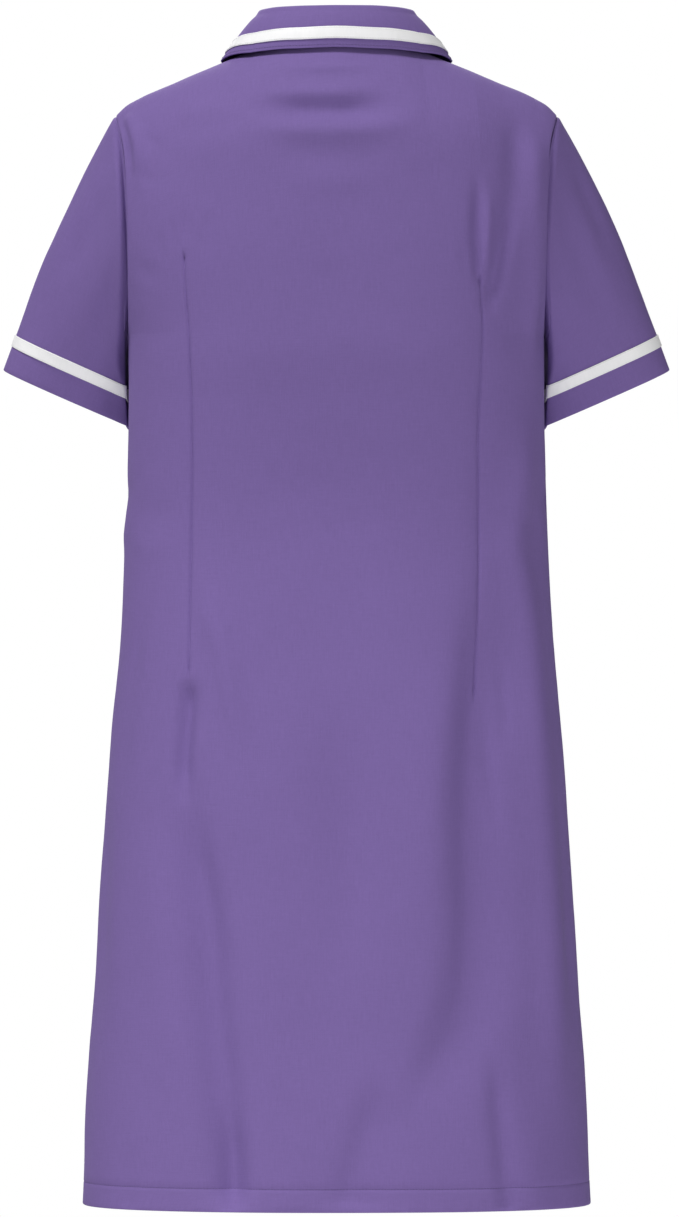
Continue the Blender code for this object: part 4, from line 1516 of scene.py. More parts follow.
@dataclass
class PanelPlan:
    """How a panel of the body is laid out: its rows, its columns and its turned edges."""

    dressed: DressedForm
    cloth: float = 0.0008
    grain: float = 0.0033
    skirt_grain: float = 0.0066
    near_arc: float = 0.210
    far_arc: float = 0.385
    skirt: float = 0.780
    yoke_rows: int = 92
    yoke_crowding: float = 0.75
    shoulder_sink: float = 0.0008
    shoulder_length: float = 0.20
    dart_arc: float = 0.130
    dart_columns: tuple[float, ...] = (0.00035, 0.0008, 0.0014, 0.0022, 0.0034)
    seam_columns: tuple[float, ...] = (0.0, 0.0006, 0.0013, 0.0021, 0.0032, 0.0046, 0.0062)
    lap_samples: int = 24
    hem: TurnedEdge = field(default_factory=lambda: TurnedEdge(turn=0.0205))
    placket: TurnedEdge = field(default_factory=lambda: TurnedEdge(turn=0.0060))

    def climbs(self) -> tuple[np.ndarray, np.ndarray]:
        """The rows.

        Returns:
            Each row's climb, and how far inside the form it lies.
        """
        hem = self.hem.rows()
        start = hem[-1].along
        count = round((self.skirt - start) / self.skirt_grain)
        skirt = start + (self.skirt - start) * np.arange(1, count) / count
        even = np.arange(self.yoke_rows + 1) / self.yoke_rows
        rise = even + ((1 - np.cos(np.pi * even)) / 2 - even) * self.yoke_crowding
        climbs = np.concatenate([[row.along / self.skirt for row in hem], skirt / self.skirt, 1 + rise])
        inward = np.zeros(len(climbs))
        inward[: len(hem)] = [row.inward for row in hem]
        return climbs, inward

    def half_shares(self) -> np.ndarray:
        """The columns from the centre to the side, closer together at the dart and the seam."""
        dart = self.dressed.form.dart_share
        beside, seam = np.array(self.dart_columns), np.array(self.seam_columns)
        near_count = round(self.dart_arc / self.grain) + 1
        near = np.linspace(0, dart - beside[-1] / self.near_arc, near_count)
        far_count = round(self.far_arc * (1 - dart) / self.grain)
        far_start = dart + beside[-1] / self.far_arc
        far_end = 1 - seam[-1] / self.far_arc
        far = np.linspace(far_start, far_end, far_count)
        before = dart - beside[-2::-1] / self.near_arc
        after = dart + beside[:-1] / self.far_arc
        last = 1 - seam[-2::-1] / self.far_arc
        return np.concatenate([near, before, [dart], after, far, last])

    def seam_inward(self, share: np.ndarray) -> np.ndarray:
        """How far the cloth dips at the side seam and the armhole."""
        return seam_dip((1 - np.abs(share)) * self.far_arc, SEAM_SINK)

    def shoulder_inward(self, climb: np.ndarray) -> np.ndarray:
        """How far the cloth dips at the shoulder seam."""
        return seam_dip((2 - climb) * self.shoulder_length, self.shoulder_sink)

    def lap_start(self, climb: float) -> float:
        """The share at which a front ends past its centre."""
        form = self.dressed.form
        shares = np.linspace(0, form.neck_share, self.lap_samples)
        reach = form.place(Side.FRONT, shares, np.full(self.lap_samples, climb))[:, 0]
        return -float(np.interp(LAP.reach, reach, shares))


@dataclass
class BodyPanel:
    """The back or a front, worked out on its grid."""

    name: str
    plan: PanelPlan
    side: Side
    mirrored: bool = False
    lap_columns: int = 2

    def surface(self, share: Any, climb: Any) -> tuple[np.ndarray, np.ndarray]:
        """The cloth's outer face.

        Args:
            share: Shares across the panel.
            climb: Climbs up the panel, in the same shape.

        Returns:
            Points and outward normals.
        """
        form = self.plan.dressed.form
        points = form.place(self.side, share, climb)
        normals = form.facing(self.side, share, climb)
        if self.mirrored:
            points = points * MIRROR
            normals = normals * MIRROR
            points = points + normals * LAP.lift_at(points[..., 0])[..., None]
        height = self.plan.dressed.heights(points, normals)
        return points + normals * height[..., None], normals

    def grid(self) -> tuple[SheetGrid, np.ndarray]:
        """The panel as a grid, with its outward normals."""
        climbs, row_inward = self.plan.climbs()
        half = self.plan.half_shares()
        if self.side is Side.BACK:
            shares = np.tile(np.concatenate([-half[:0:-1], half]), (len(climbs), 1))
            column_inward = np.zeros(shares.shape[1])
            centre = len(half) - 1
        else:
            shares, column_inward, centre = self._front_columns(climbs, half)
        climb_grid = np.tile(climbs[:, None], (1, shares.shape[1]))
        points, normals = self.surface(shares, climb_grid)
        across = lengths_along(points)
        across = across - across[:, centre : centre + 1]
        if self.mirrored:
            across = -across
        up = lengths_along(points[:, centre])
        flat = np.stack([across, np.tile(up[:, None], (1, shares.shape[1]))], axis=-1)
        inward = row_inward[:, None] + column_inward[None, :]
        inward = inward + self.plan.seam_inward(shares)
        over_neck = np.abs(shares) < self.plan.dressed.form.neck_share
        inward = inward + np.where(over_neck, 0, self.plan.shoulder_inward(climb_grid))
        points = points - normals * inward[..., None]
        return SheetGrid(points, flat), normals

    def _front_columns(
        self, climbs: np.ndarray, half: np.ndarray
    ) -> tuple[np.ndarray, np.ndarray, int]:
        """A front's columns, from its turned edge past the centre to its side."""
        edge = self.plan.placket.rows()
        form = self.plan.dressed.form
        starts = np.array([self.plan.lap_start(climb) for climb in climbs])
        # Turning a distance from the edge into a share, the lap's own share a metre is used.
        per_metre = -starts / LAP.reach
        last = edge[-1].along
        between = np.linspace(last, LAP.reach, self.lap_columns + 2)[1:-1]
        along = np.array([row.along for row in edge] + list(between))
        lap = starts[:, None] + per_metre[:, None] * along[None, :]
        shares = np.concatenate([lap, np.tile(half, (len(climbs), 1))], axis=1)
        inward = np.zeros(shares.shape[1])
        inward[: len(edge)] = [row.inward for row in edge]
        return shares, inward, len(along)


@dataclass
class SleeveForm:
    """The smooth form of the left sleeve, from its armhole to its cuff."""

    body: BodyForm
    cuff_outer: tuple[float, float, float] = (0.3020, -0.048, -0.2740)
    cuff_inner: tuple[float, float, float] = (0.1740, -0.060, -0.3300)
    cuff_half_depth: float = 0.042
    cuff_back_drop: float = 0.070
    cuff_squareness: float = 2.5
    fullness: float = 0.0065
    fullness_power: float = 0.8
    clearance: float = 0.0032
    clear_from: float = 0.25
    step: float = 1e-4

    def ends(self, turn: np.ndarray) -> tuple[np.ndarray, np.ndarray]:
        """The armhole end and the cuff end of the sleeve's lines.

        Args:
            turn: Turns from 0 to 1 from the top, over the back first.

        Returns:
            Points at the armhole and at the cuff.
        """
        turn = np.mod(turn, 1.0)
        rise = (1 + np.cos(2 * np.pi * turn)) / 2
        back = self.body.place(Side.BACK, 1.0, 1 + rise)
        front = self.body.place(Side.FRONT, 1.0, 1 + rise)
        start = np.where((turn <= 0.5)[..., None], back, front)
        centre = (np.array(self.cuff_outer) + np.array(self.cuff_inner)) / 2
        out, deep = self.cuff_axes()
        angle = 2 * np.pi * turn[..., None]
        across, along = (self.squared(part) for part in (np.cos(angle), np.sin(angle)))
        return start, centre + out * across + deep * along

    def cuff_axes(self) -> tuple[np.ndarray, np.ndarray]:
        """Half the cuff's opening, outwards from the dress and towards its back."""
        out = (np.array(self.cuff_outer) - np.array(self.cuff_inner)) / 2
        half = self.cuff_half_depth
        return out, np.array([0.0, half, -half * self.cuff_back_drop])

    def squared(self, value: np.ndarray) -> np.ndarray:
        """Sines or cosines for a cuff that is flatter than an ellipse."""
        return np.sign(value) * np.abs(value) ** (2 / self.cuff_squareness)

    def middle_y(self, down: np.ndarray) -> np.ndarray:
        """Where the sleeve's back and front halves meet, down the sleeve."""
        return (self.cuff_outer[1] + self.cuff_inner[1]) / 2 * down

    def length(self, turn: np.ndarray) -> np.ndarray:
        """The length of the sleeve's line at a turn."""
        start, end = self.ends(turn)
        return np.linalg.norm(end - start, axis=-1)

    def fall(self, turn: np.ndarray) -> np.ndarray:
        """How far the armhole lies from the cuff's plane at a turn."""
        start, end = self.ends(turn)
        return np.abs((start - end) @ unit(np.cross(*self.cuff_axes())))

    def place(self, turn: np.ndarray, down: np.ndarray) -> np.ndarray:
        """Points of the form, with down 0 at the armhole and 1 at the cuff."""
        turn, down = np.broadcast_arrays(np.asarray(turn, float), np.asarray(down, float))
        start, end = self.ends(turn)
        down = down[..., None]
        out = unit(self.cuff_axes()[0])
        full = self.fullness * np.sin(np.pi * np.clip(down, 0, 1) ** self.fullness_power)
        turned = np.maximum(0.0, np.cos(2 * np.pi * turn))[..., None]
        points = start + (end - start) * down + out * full * turned
        gap = self.clearance * ease(down[..., 0] / self.clear_from)
        return self.clear_of_body(points, gap)

    def clear_of_body(self, points: np.ndarray, gap: np.ndarray) -> np.ndarray:
        """The points, moved out if need be to stay clear of the body of the dress."""
        body = self.body
        x, y, z = points[..., 0], points[..., 1], points[..., 2]
        least = body.armhole_x(np.minimum(z, body.shoulder_tip_z)) + gap
        high = np.stack([np.maximum(x, least), y, z], axis=-1)
        depth = np.where(y > 0, body.depth_at(Side.BACK, z), body.depth_at(Side.FRONT, z)) + gap
        width = body.half_width_at(z) + gap
        power = body.squareness
        reach = (np.maximum(x, 0) / width) ** power + (np.abs(y) / depth) ** power
        grow = np.maximum(1.0, np.maximum(reach, SMALL) ** (-1 / power))
        low = np.stack([x * grow, y * grow, z], axis=-1)
        return np.where((z >= body.underarm_z)[..., None], high, low)

    def facing(self, turn: np.ndarray, down: np.ndarray) -> np.ndarray:
        """Outward unit normals."""
        step = self.step
        after = self.place(turn + step, down)
        before = self.place(turn - step, down)
        lower = self.place(turn, np.minimum(down + step, 1))
        upper = self.place(turn, np.maximum(down - step, 0))
        return unit(np.cross(lower - upper, after - before))


SLEEVE_CREASES = (
    # Places are (turn, down); the left sleeve's list, and the right one's after it.
    (
        Crease(((0.045, 0.03), (0.055, 0.24), (0.06, 0.48)), -0.0012, 0.0095),
        Crease(((0.115, 0.04), (0.11, 0.26), (0.09, 0.52), (0.08, 0.78)), 0.0014, 0.012),
        Crease(((0.165, 0.06), (0.16, 0.32), (0.14, 0.6)), -0.0013, 0.011),
        Crease(((0.235, 0.06), (0.23, 0.34), (0.225, 0.66)), 0.001, 0.012),
        Crease(((0.3, 0.1), (0.28, 0.42), (0.255, 0.74)), -0.0012, 0.011),
        Crease(((0.01, 0.45), (0.02, 0.64), (0.035, 0.84)), 0.0009, 0.011),
        Crease(((0.7, 0.08), (0.72, 0.4), (0.745, 0.72)), -0.0013, 0.011),
        Crease(((0.79, 0.06), (0.8, 0.34), (0.82, 0.62)), 0.0011, 0.012),
        Crease(((0.88, 0.05), (0.885, 0.3), (0.895, 0.58)), -0.0012, 0.0105),
    ),
    (
        Crease(((0.05, 0.03), (0.06, 0.22), (0.05, 0.44)), 0.0011, 0.01),
        Crease(((0.1, 0.04), (0.105, 0.28), (0.11, 0.56)), -0.0015, 0.0105),
        Crease(((0.15, 0.06), (0.15, 0.34), (0.15, 0.66), (0.145, 0.84)), 0.0014, 0.011),
        Crease(((0.215, 0.06), (0.205, 0.36), (0.195, 0.7)), -0.0013, 0.012),
        Crease(((0.29, 0.08), (0.275, 0.4), (0.255, 0.76)), 0.0011, 0.012),
        Crease(((0.02, 0.5), (0.03, 0.68), (0.045, 0.86)), -0.0009, 0.01),
        Crease(((0.69, 0.08), (0.715, 0.38), (0.74, 0.7)), 0.0011, 0.012),
        Crease(((0.77, 0.06), (0.785, 0.36), (0.8, 0.68)), -0.0013, 0.011),
        Crease(((0.87, 0.05), (0.88, 0.32), (0.9, 0.6)), 0.001, 0.011),
    ),
)


class TuckRow(NamedTuple):
    """How wide and how deep a sleeve sinks beside the body of the dress at a height."""

    z: float
    width: float
    depth: float


SLEEVE_TUCKS = (
    (
        TuckRow(-0.340, 0.0040, 0.0020),
        TuckRow(-0.296, 0.0040, 0.0030),
        TuckRow(-0.272, 0.0100, 0.0140),
        TuckRow(-0.230, 0.0088, 0.0125),
        TuckRow(-0.170, 0.0075, 0.0100),
        TuckRow(-0.100, 0.0068, 0.0085),
        TuckRow(-0.047, 0.0050, 0.0030),
    ),
    (
        TuckRow(-0.340, 0.0040, 0.0020),
        TuckRow(-0.296, 0.0040, 0.0030),
        TuckRow(-0.272, 0.0080, 0.0115),
        TuckRow(-0.230, 0.0058, 0.0075),
        TuckRow(-0.170, 0.0045, 0.0048),
        TuckRow(-0.100, 0.0050, 0.0042),
        TuckRow(-0.047, 0.0045, 0.0014),
    ),
)


@dataclass
class Sleeve:
    """One sleeve with its turned cuff, its tape and its stitches."""

    hand: str
    form: SleeveForm
    cloth: float = 0.0008
    around: int = 126
    grain: float = 0.0034
    cuff: TurnedEdge = field(default_factory=lambda: TurnedEdge(turn=0.0240, groove=0.0003))
    tape: Tape = Tape(0.0235, 0.0108, 0.330, 0.00022, waves=(0.0065, 0.016), thread_lift=0.00015)
    tuck_start: float = 0.0022
    tuck_power: float = 1.3
    most_tuck: float = 0.6
    cut: Cut = Cut(0.440, 0.285, 0.084)
    # How the creases fade at the armhole, towards the cuff and beside the body
    still_top: float = 0.04
    still_from: float = 0.85
    still_run: float = 0.1
    still_share: float = 0.35
    hollow_from: float = 0.194
    hollow_run: float = 0.010
    uneven_shift: tuple[float, float, float] = (0.0, 0.31, 0.0)
    line_length: float = 0.200
    seam_rows: tuple[float, ...] = (0.0032, 0.0021, 0.0013, 0.0006, 0.0)

    def __post_init__(self) -> None:
        """Lays the sleeve's creases."""
        creases = SLEEVE_CREASES[0 if self.hand == "left" else 1]
        self.lines = []
        for crease in creases:
            route = np.array(crease.route)
            self.lines.append(CreaseLine(crease, self.form.place(route[:, 0], route[:, 1])))
        self.flip = np.ones(3) if self.hand == "left" else MIRROR

    def surface(self, turn: np.ndarray, down: np.ndarray) -> tuple[np.ndarray, np.ndarray]:
        """Points and outward normals of the left sleeve's outer face, creases and all."""
        points = self.form.place(turn, down)
        normals = self.form.facing(turn, down)
        flat, facing = points.reshape(-1, 3), normals.reshape(-1, 3)
        height = unevenness(flat * self.flip + np.array(self.uneven_shift))
        for line in self.lines:
            height = height + line.heights(flat, facing)
        height = height.reshape(points.shape[:-1])
        # The cloth lies still at its two ends, and never goes into the body.
        calm = 1 - self.still_share * ease((down - self.still_from) / self.still_run)
        height = height * ease(down / self.still_top) * calm
        close = ease((points[..., 0] - self.hollow_from) / self.hollow_run)
        height = np.where(height < 0, height * close, height)
        return self.tucked(points + normals * height[..., None], turn, down), normals

    def tucked(self, points: np.ndarray, turn: np.ndarray, down: np.ndarray) -> np.ndarray:
        """The cloth, drawn in where it turns in beside the body of the dress.

        Args:
            points: Points of the left sleeve.
            turn: Their turns.
            down: Their places down the sleeve.

        Returns:
            The points, still clear of the body.
        """
        rows = SLEEVE_TUCKS[0 if self.hand == "left" else 1]
        body = self.form.body
        x, y, z = points[..., 0], points[..., 1], points[..., 2]
        beside = np.where(
            z >= body.underarm_z,
            body.armhole_x(np.minimum(z, body.shoulder_tip_z)),
            body.half_width_at(z),
        )
        width = SoftCurve.of(rows, "z", "width")(z)
        depth = SoftCurve.of(rows, "z", "depth")(z)
        near = np.clip(1 - (x - beside) / width, 0, 1) ** self.tuck_power
        near = near * ease(down * self.form.length(turn) / self.tuck_start)
        middle = self.form.middle_y(down)
        sink = np.minimum(depth * near, np.abs(y - middle) * self.most_tuck)
        y = y - np.sign(y - middle) * sink
        gap = self.form.clearance * ease(down / self.form.clear_from)
        return self.form.clear_of_body(np.stack([x, y, z], axis=-1), gap)

    def down_at(self, turn: np.ndarray, rise: Any) -> np.ndarray:
        """The place down the sleeve that lies a distance above the cuff."""
        return 1 - rise / self.form.fall(turn)

    def build(self, finishes: Wardrobe) -> None:
        """Makes the sleeve's cloth."""
        turn = np.arange(self.around) / self.around
        length = self.form.length(turn)
        cuff = self.cuff.rows()
        rows = [self.down_at(turn, row.along) for row in cuff]
        inward = [row.inward for row in cuff]
        start = self.down_at(turn, cuff[-1].along)
        end = SEAM_REACH / length
        count = round(self.line_length / self.grain)
        rows += [start + (end - start) * i / count for i in range(1, count)]
        rows += [away / length for away in self.seam_rows]
        inward += [0.0] * (len(rows) - len(inward))
        down = np.array(rows)
        turns = np.tile(turn, (len(rows), 1))
        points, normals = self.surface(turns, down)
        points = points - normals * np.array(inward)[:, None, None]
        sunk = seam_dip(down * length, SEAM_SINK)
        rise = (1 + np.cos(2 * np.pi * turn)) / 2
        back = self.form.body.facing(Side.BACK, 1.0, 1 + rise)
        front = self.form.body.facing(Side.FRONT, 1.0, 1 + rise)
        body_normals = np.where((turn <= 0.5)[:, None], back, front)
        points = points - body_normals[None] * sunk[..., None]
        ring = lengths_round(points)
        climb = (1 - down) * length
        climb = np.concatenate([climb, climb[:, :1]], axis=1)
        flat = np.stack([ring, climb], axis=-1)
        grid = SheetGrid(points * self.flip, flat, closed=True)
        mesh = grid.mesh(f"sleeve_cloth_{self.hand}", normals * self.flip)
        nodes, rests = (f"sleeve_{self.hand}",), ("back", f"front_{self.hand}")
        Maker.sheet(mesh, finishes.cloth, Sewn(self.cloth, "cloth", nodes, self.cut, rests))

    def build_tape(self, finishes: Wardrobe) -> None:
        """Makes the flat tape above the cuff."""
        count = 3 * self.around
        turn = np.arange(count) / count
        rises = self.tape.rise + self.tape.width * np.linspace(0, 1, self.tape.rows)
        down = np.stack([self.down_at(turn, rise) for rise in rises])
        turns = np.tile(turn, (len(rises), 1))
        points, normals = self.surface(turns, down)
        points = points + normals * (self.tape.lift + self.tape.puckers(points))[..., None]
        ring = lengths_round(points)
        climb = np.tile((rises - self.tape.rise)[:, None], (1, count + 1))
        grid = SheetGrid(points * self.flip, np.stack([ring, climb], axis=-1), closed=True)
        mesh = grid.mesh(f"sleeve_band_{self.hand}", normals * self.flip)
        sewn = self.tape.sewn(f"sleeve_tape_{self.hand}", f"sleeve_cloth_{self.hand}")
        Maker.sheet(mesh, finishes.tape, sewn)

    def stitch_lines(self) -> list[np.ndarray]:
        """The two lines that hold the tape down."""
        tape, inset = self.tape, self.tape.thread_inset
        lift = tape.lift + tape.cloth + tape.thread_lift
        count = 4 * self.around
        turn = np.arange(count + 1) / count
        made = []
        for rise in (tape.rise + inset, tape.rise + tape.width - inset):
            down = self.down_at(turn, rise)
            points, normals = self.surface(turn, down)
            lifted = points + normals * (lift + tape.puckers(points))[:, None]
            made.append(lifted * self.flip)
        return made


class CollarRow(NamedTuple):
    """The collar's section at a turn about the neck, with its reaches out from the neck seam."""

    turn: float
    fold_out: float
    fold_z: float
    edge_out: float
    edge_spread: float
    edge_lift: float
    bow: float


# The first row repeats the third across the centre, as in the shoulder line's table.
COLLAR = (
    CollarRow(-30, 0.0012, 0.0480, 0.0210, 0.0, 0.0060, 0.0040),
    CollarRow(0, 0.0030, 0.0480, 0.0190, 0.0, 0.0058, 0.0040),
    CollarRow(30, 0.0012, 0.0480, 0.0210, 0.0, 0.0060, 0.0040),
    CollarRow(60, -0.0042, 0.0470, 0.0255, 0.0, 0.0046, 0.0030),
    CollarRow(90, -0.0084, 0.0448, 0.0297, 0.0, 0.0019, 0.0015),
    CollarRow(120, -0.0070, 0.0345, 0.0335, 0.0, 0.0034, 0.0022),
    CollarRow(150, -0.0034, 0.0030, 0.0300, 0.0120, 0.0046, 0.0034),
    CollarRow(178, -0.0020, -0.0280, 0.0200, 0.0360, 0.0040, 0.0040),
)


COLLAR_WAVES = (Unevenness(0.060, 0.0005, 5.0), Unevenness(0.022, 0.0002, 8.0))


@dataclass
class Collar:
    """The folded collar, its tape and its stitches."""

    body: BodyForm
    end_turn: float = 177.0
    columns: int = 92
    crowding: float = 0.5
    roll: float = 0.0026
    roll_shoulder: float = 0.3
    seat: float = 0.0006
    front_seat: float = 0.0014
    lap_turn: float = 140.0
    lap_reach: float = 20.0
    cloth: float = 0.0014
    sink: float = 0.0012
    tape: Tape = Tape(0.0078, 0.0110, 0.560, 0.00016, waves=(0.0060, 0.015), thread_lift=0.00012)
    rim: float = 0.00045
    section_points: int = 34
    edge_shares: tuple[float, float] = (0.15, 0.2)
    normal_step: float = 0.0008
    edge_thread: tuple[float, float] = (0.0036, 0.0026)
    edge_lift: float = 0.0001
    drop_from: float = 0.2
    drop_grid: tuple[int, int] = (81, 41)
    cut: Cut = Cut(0.520, 0.100, 0.0450)

    def __post_init__(self) -> None:
        """Works out what the collar's edge lies along."""
        columns, rows = self.drop_grid
        rises = (1 - np.cos(np.pi * np.linspace(0.5, 1, rows))) / 2
        shares, rises = np.meshgrid(np.linspace(-1, 1, columns), rises)
        back = self.body.place(Side.BACK, shares, 1 + rises)
        front = self.body.place(Side.FRONT, shares, 1 + rises)
        facing = self.body.facing(Side.FRONT, shares, 1 + rises)
        x = front[..., 0]
        lift = np.where(x < LAP.reach, LAP.lift_at(x), 0.0)
        front = front + facing * lift[..., None]
        self.tree = tree_of([back, front])

    def _drop(self, x: float, y: float) -> float:
        """The height of the body straight below a place beside the neck."""
        return self.tree.ray_cast(Vector((x, y, self.drop_from)), Vector((0, 0, -1)))[0].z

    def _control(self, turn: float) -> np.ndarray:
        """The main points of the collar's mid line at a turn, on the wearer's left."""
        around = abs(turn)
        radians = math.radians(around)
        out = np.array([math.sin(radians), math.cos(radians), 0.0])
        up = np.array([0.0, 0.0, 1.0])
        side = Side.BACK if around <= 90 else Side.FRONT
        share = self.body.neck_share * (around if side is Side.BACK else 180 - around) / 90
        seat = self.seat + self.front_seat * float(ease(around / 90 - 1))
        seat += LAP.lift * float(ease((around - self.lap_turn) / self.lap_reach))
        seam = self.body.place(side, share, 2.0) + up * seat
        value = {
            name: float(SoftCurve.of(COLLAR, "turn", name)(around))
            for name in CollarRow._fields[1:]
        }
        fold = seam + out * value["fold_out"]
        fold[2] = value["fold_z"]
        edge = seam + out * value["edge_out"]
        edge[0] += value["edge_spread"]
        edge[2] = self._drop(edge[0], edge[1]) + value["edge_lift"]
        shoulder = self.roll * self.roll_shoulder
        inner = fold - up * self.roll
        outer = fold + out * 2 * self.roll - up * self.roll
        low = seam - unit(inner - seam) * self.sink
        proud = unit(out + up) * value["bow"]
        fall = [
            outer + (edge - outer) * t + proud * math.sin(math.pi * t)
            for t in (0.0, 0.2, 0.4, 0.6, 0.8, 1.0)
        ]
        stand = [low, seam, (seam + inner) / 2, inner]
        over = [
            fold + out * shoulder - up * shoulder,
            fold + out * self.roll,
            fold + out * (2 * self.roll - shoulder) - up * shoulder,
        ]
        return np.array(stand + over + fall)

    def section(self, turn: float, places: np.ndarray, from_edge: bool = False) -> np.ndarray:
        """Points of the collar's mid line at a turn.

        Args:
            turn: Degrees from the centre back, negative on the wearer's right.
            places: Shares of the line's length, or lengths back from its free edge.
            from_edge: Whether the places are lengths from the edge.

        Returns:
            The points.
        """
        points = self._control(turn)
        along = lengths_along(points)
        at = along[-1] - places if from_edge else places * along[-1]
        axes = [SoftCurve(tuple(along), tuple(points[:, n]))(at) for n in range(3)]
        made = np.stack(axes, axis=-1)
        if turn < 0:
            made = made * MIRROR
        return made

    def turns(self, count: int) -> np.ndarray:
        """The sections' turns, closer together towards the front ends."""
        even = np.linspace(-1, 1, 2 * count + 1)
        crowded = np.sin(np.pi * even / 2)
        return self.end_turn * (even + (crowded - even) * self.crowding)

    def build(self, finishes: Wardrobe) -> None:
        """Makes the collar's cloth."""
        turns = self.turns(self.columns)
        edge = np.array([0.0, 0.02])
        shares = np.concatenate([edge, np.linspace(0.04, 0.985, self.section_points), [0.993, 1.0]])
        points = np.array([self.section(float(turn), shares) for turn in turns])
        normals = self.normals(points)
        still, run = self.edge_shares
        uneven = unevenness(points, COLLAR_WAVES) * ease((shares - still) / run)[None, :]
        points = points + normals * uneven[..., None]
        down = lengths_along(points)
        along = lengths_along(points[:, 16])
        flat = np.stack([np.tile(along[:, None], (1, points.shape[1])), down], axis=-1)
        mesh = SheetGrid(points, flat).mesh("collar_cloth", normals)
        sewn = Sewn(
            self.cloth, "cloth", ("collar",), self.cut, ("back",), Held.FOLDED, offset=0.0,
            rim=self.rim,
        )
        Maker.sheet(mesh, finishes.cloth, sewn)

    @staticmethod
    def normals(points: np.ndarray) -> np.ndarray:
        """Normals of the collar's mid surface, out of the fall."""
        along = np.gradient(points, axis=0)
        down = np.gradient(points, axis=1)
        return unit(np.cross(along, down))

    def _fall(self, turns: np.ndarray, rises: np.ndarray) -> tuple[np.ndarray, np.ndarray]:
        """Points and outward normals of the fall's mid line at lengths from its edge."""
        spread = np.concatenate([rises + self.normal_step, rises[-1:] - self.normal_step])
        points = np.array([self.section(float(turn), spread, True) for turn in turns])
        normals = self.normals(points)
        points = np.array([self.section(float(turn), rises, True) for turn in turns])
        normals = normals[:, : len(rises)]
        return points + normals * unevenness(points, COLLAR_WAVES)[..., None], normals

    def build_tape(self, finishes: Wardrobe) -> None:
        """Makes the flat tape on the fall."""
        tape = self.tape
        turns = self.turns(3 * self.columns)
        rises = tape.rise + tape.width * np.linspace(1, 0, tape.rows)
        points, normals = self._fall(turns, rises)
        lift = self.cloth / 2 + tape.lift + tape.puckers(points)
        points = points + normals * lift[..., None]
        along = lengths_along(points[:, 3])
        across = np.tile(tape.rise + tape.width - rises, (len(turns), 1))
        flat = np.stack([np.tile(along[:, None], (1, len(rises))), across], axis=-1)
        mesh = SheetGrid(points, flat).mesh("collar_band", normals)
        Maker.sheet(mesh, finishes.tape, tape.sewn("collar_tape", "collar_cloth"))

    def stitch_lines(self) -> tuple[list[np.ndarray], list[np.ndarray]]:
        """The lines that hold the tape, and the line along the collar's edge."""
        tape, inset = self.tape, self.tape.thread_inset
        turns = self.turns(3 * self.columns)
        rises = np.array([tape.rise + tape.width - inset, tape.rise + inset])
        points, normals = self._fall(turns, rises)
        lift = self.cloth / 2 + tape.lift + tape.cloth + tape.thread_lift
        lift = lift + tape.puckers(points)
        lifted = points + normals * lift[..., None]
        edge, facing = self._fall(turns[3:-3], np.array(self.edge_thread))
        edge = edge + facing * (self.cloth / 2 + self.edge_lift)
        return [lifted[:, 0], lifted[:, 1]], [edge[:, 1]]


def tree_of(grids: Sequence[np.ndarray]) -> BVHTree:
    """A search tree over the faces of grids of points."""
    points: list[list[float]] = []
    faces: list[tuple[int, ...]] = []
    for grid in grids:
        start = len(points)
        rows, columns = grid.shape[:2]
        points += grid.reshape(-1, 3).tolist()
        for i in range(rows - 1):
            for j in range(columns - 1):
                a = start + i * columns + j
                faces.append((a, a + 1, a + columns + 1, a + columns))
    return BVHTree.FromPolygons(points, faces)


# A button's section, from its middle over the rim to its back: shares of its radius and thickness.
BUTTON_PROFILE = (
    (0.0, 0.55), (0.30, 0.55), (0.55, 0.57), (0.66, 0.62), (0.73, 0.80), (0.79, 0.95),
    (0.86, 1.00), (0.93, 0.95), (0.98, 0.80), (1.00, 0.55), (0.985, 0.30), (0.93, 0.10),
    (0.85, 0.0), (0.40, 0.0), (0.0, 0.0),
)


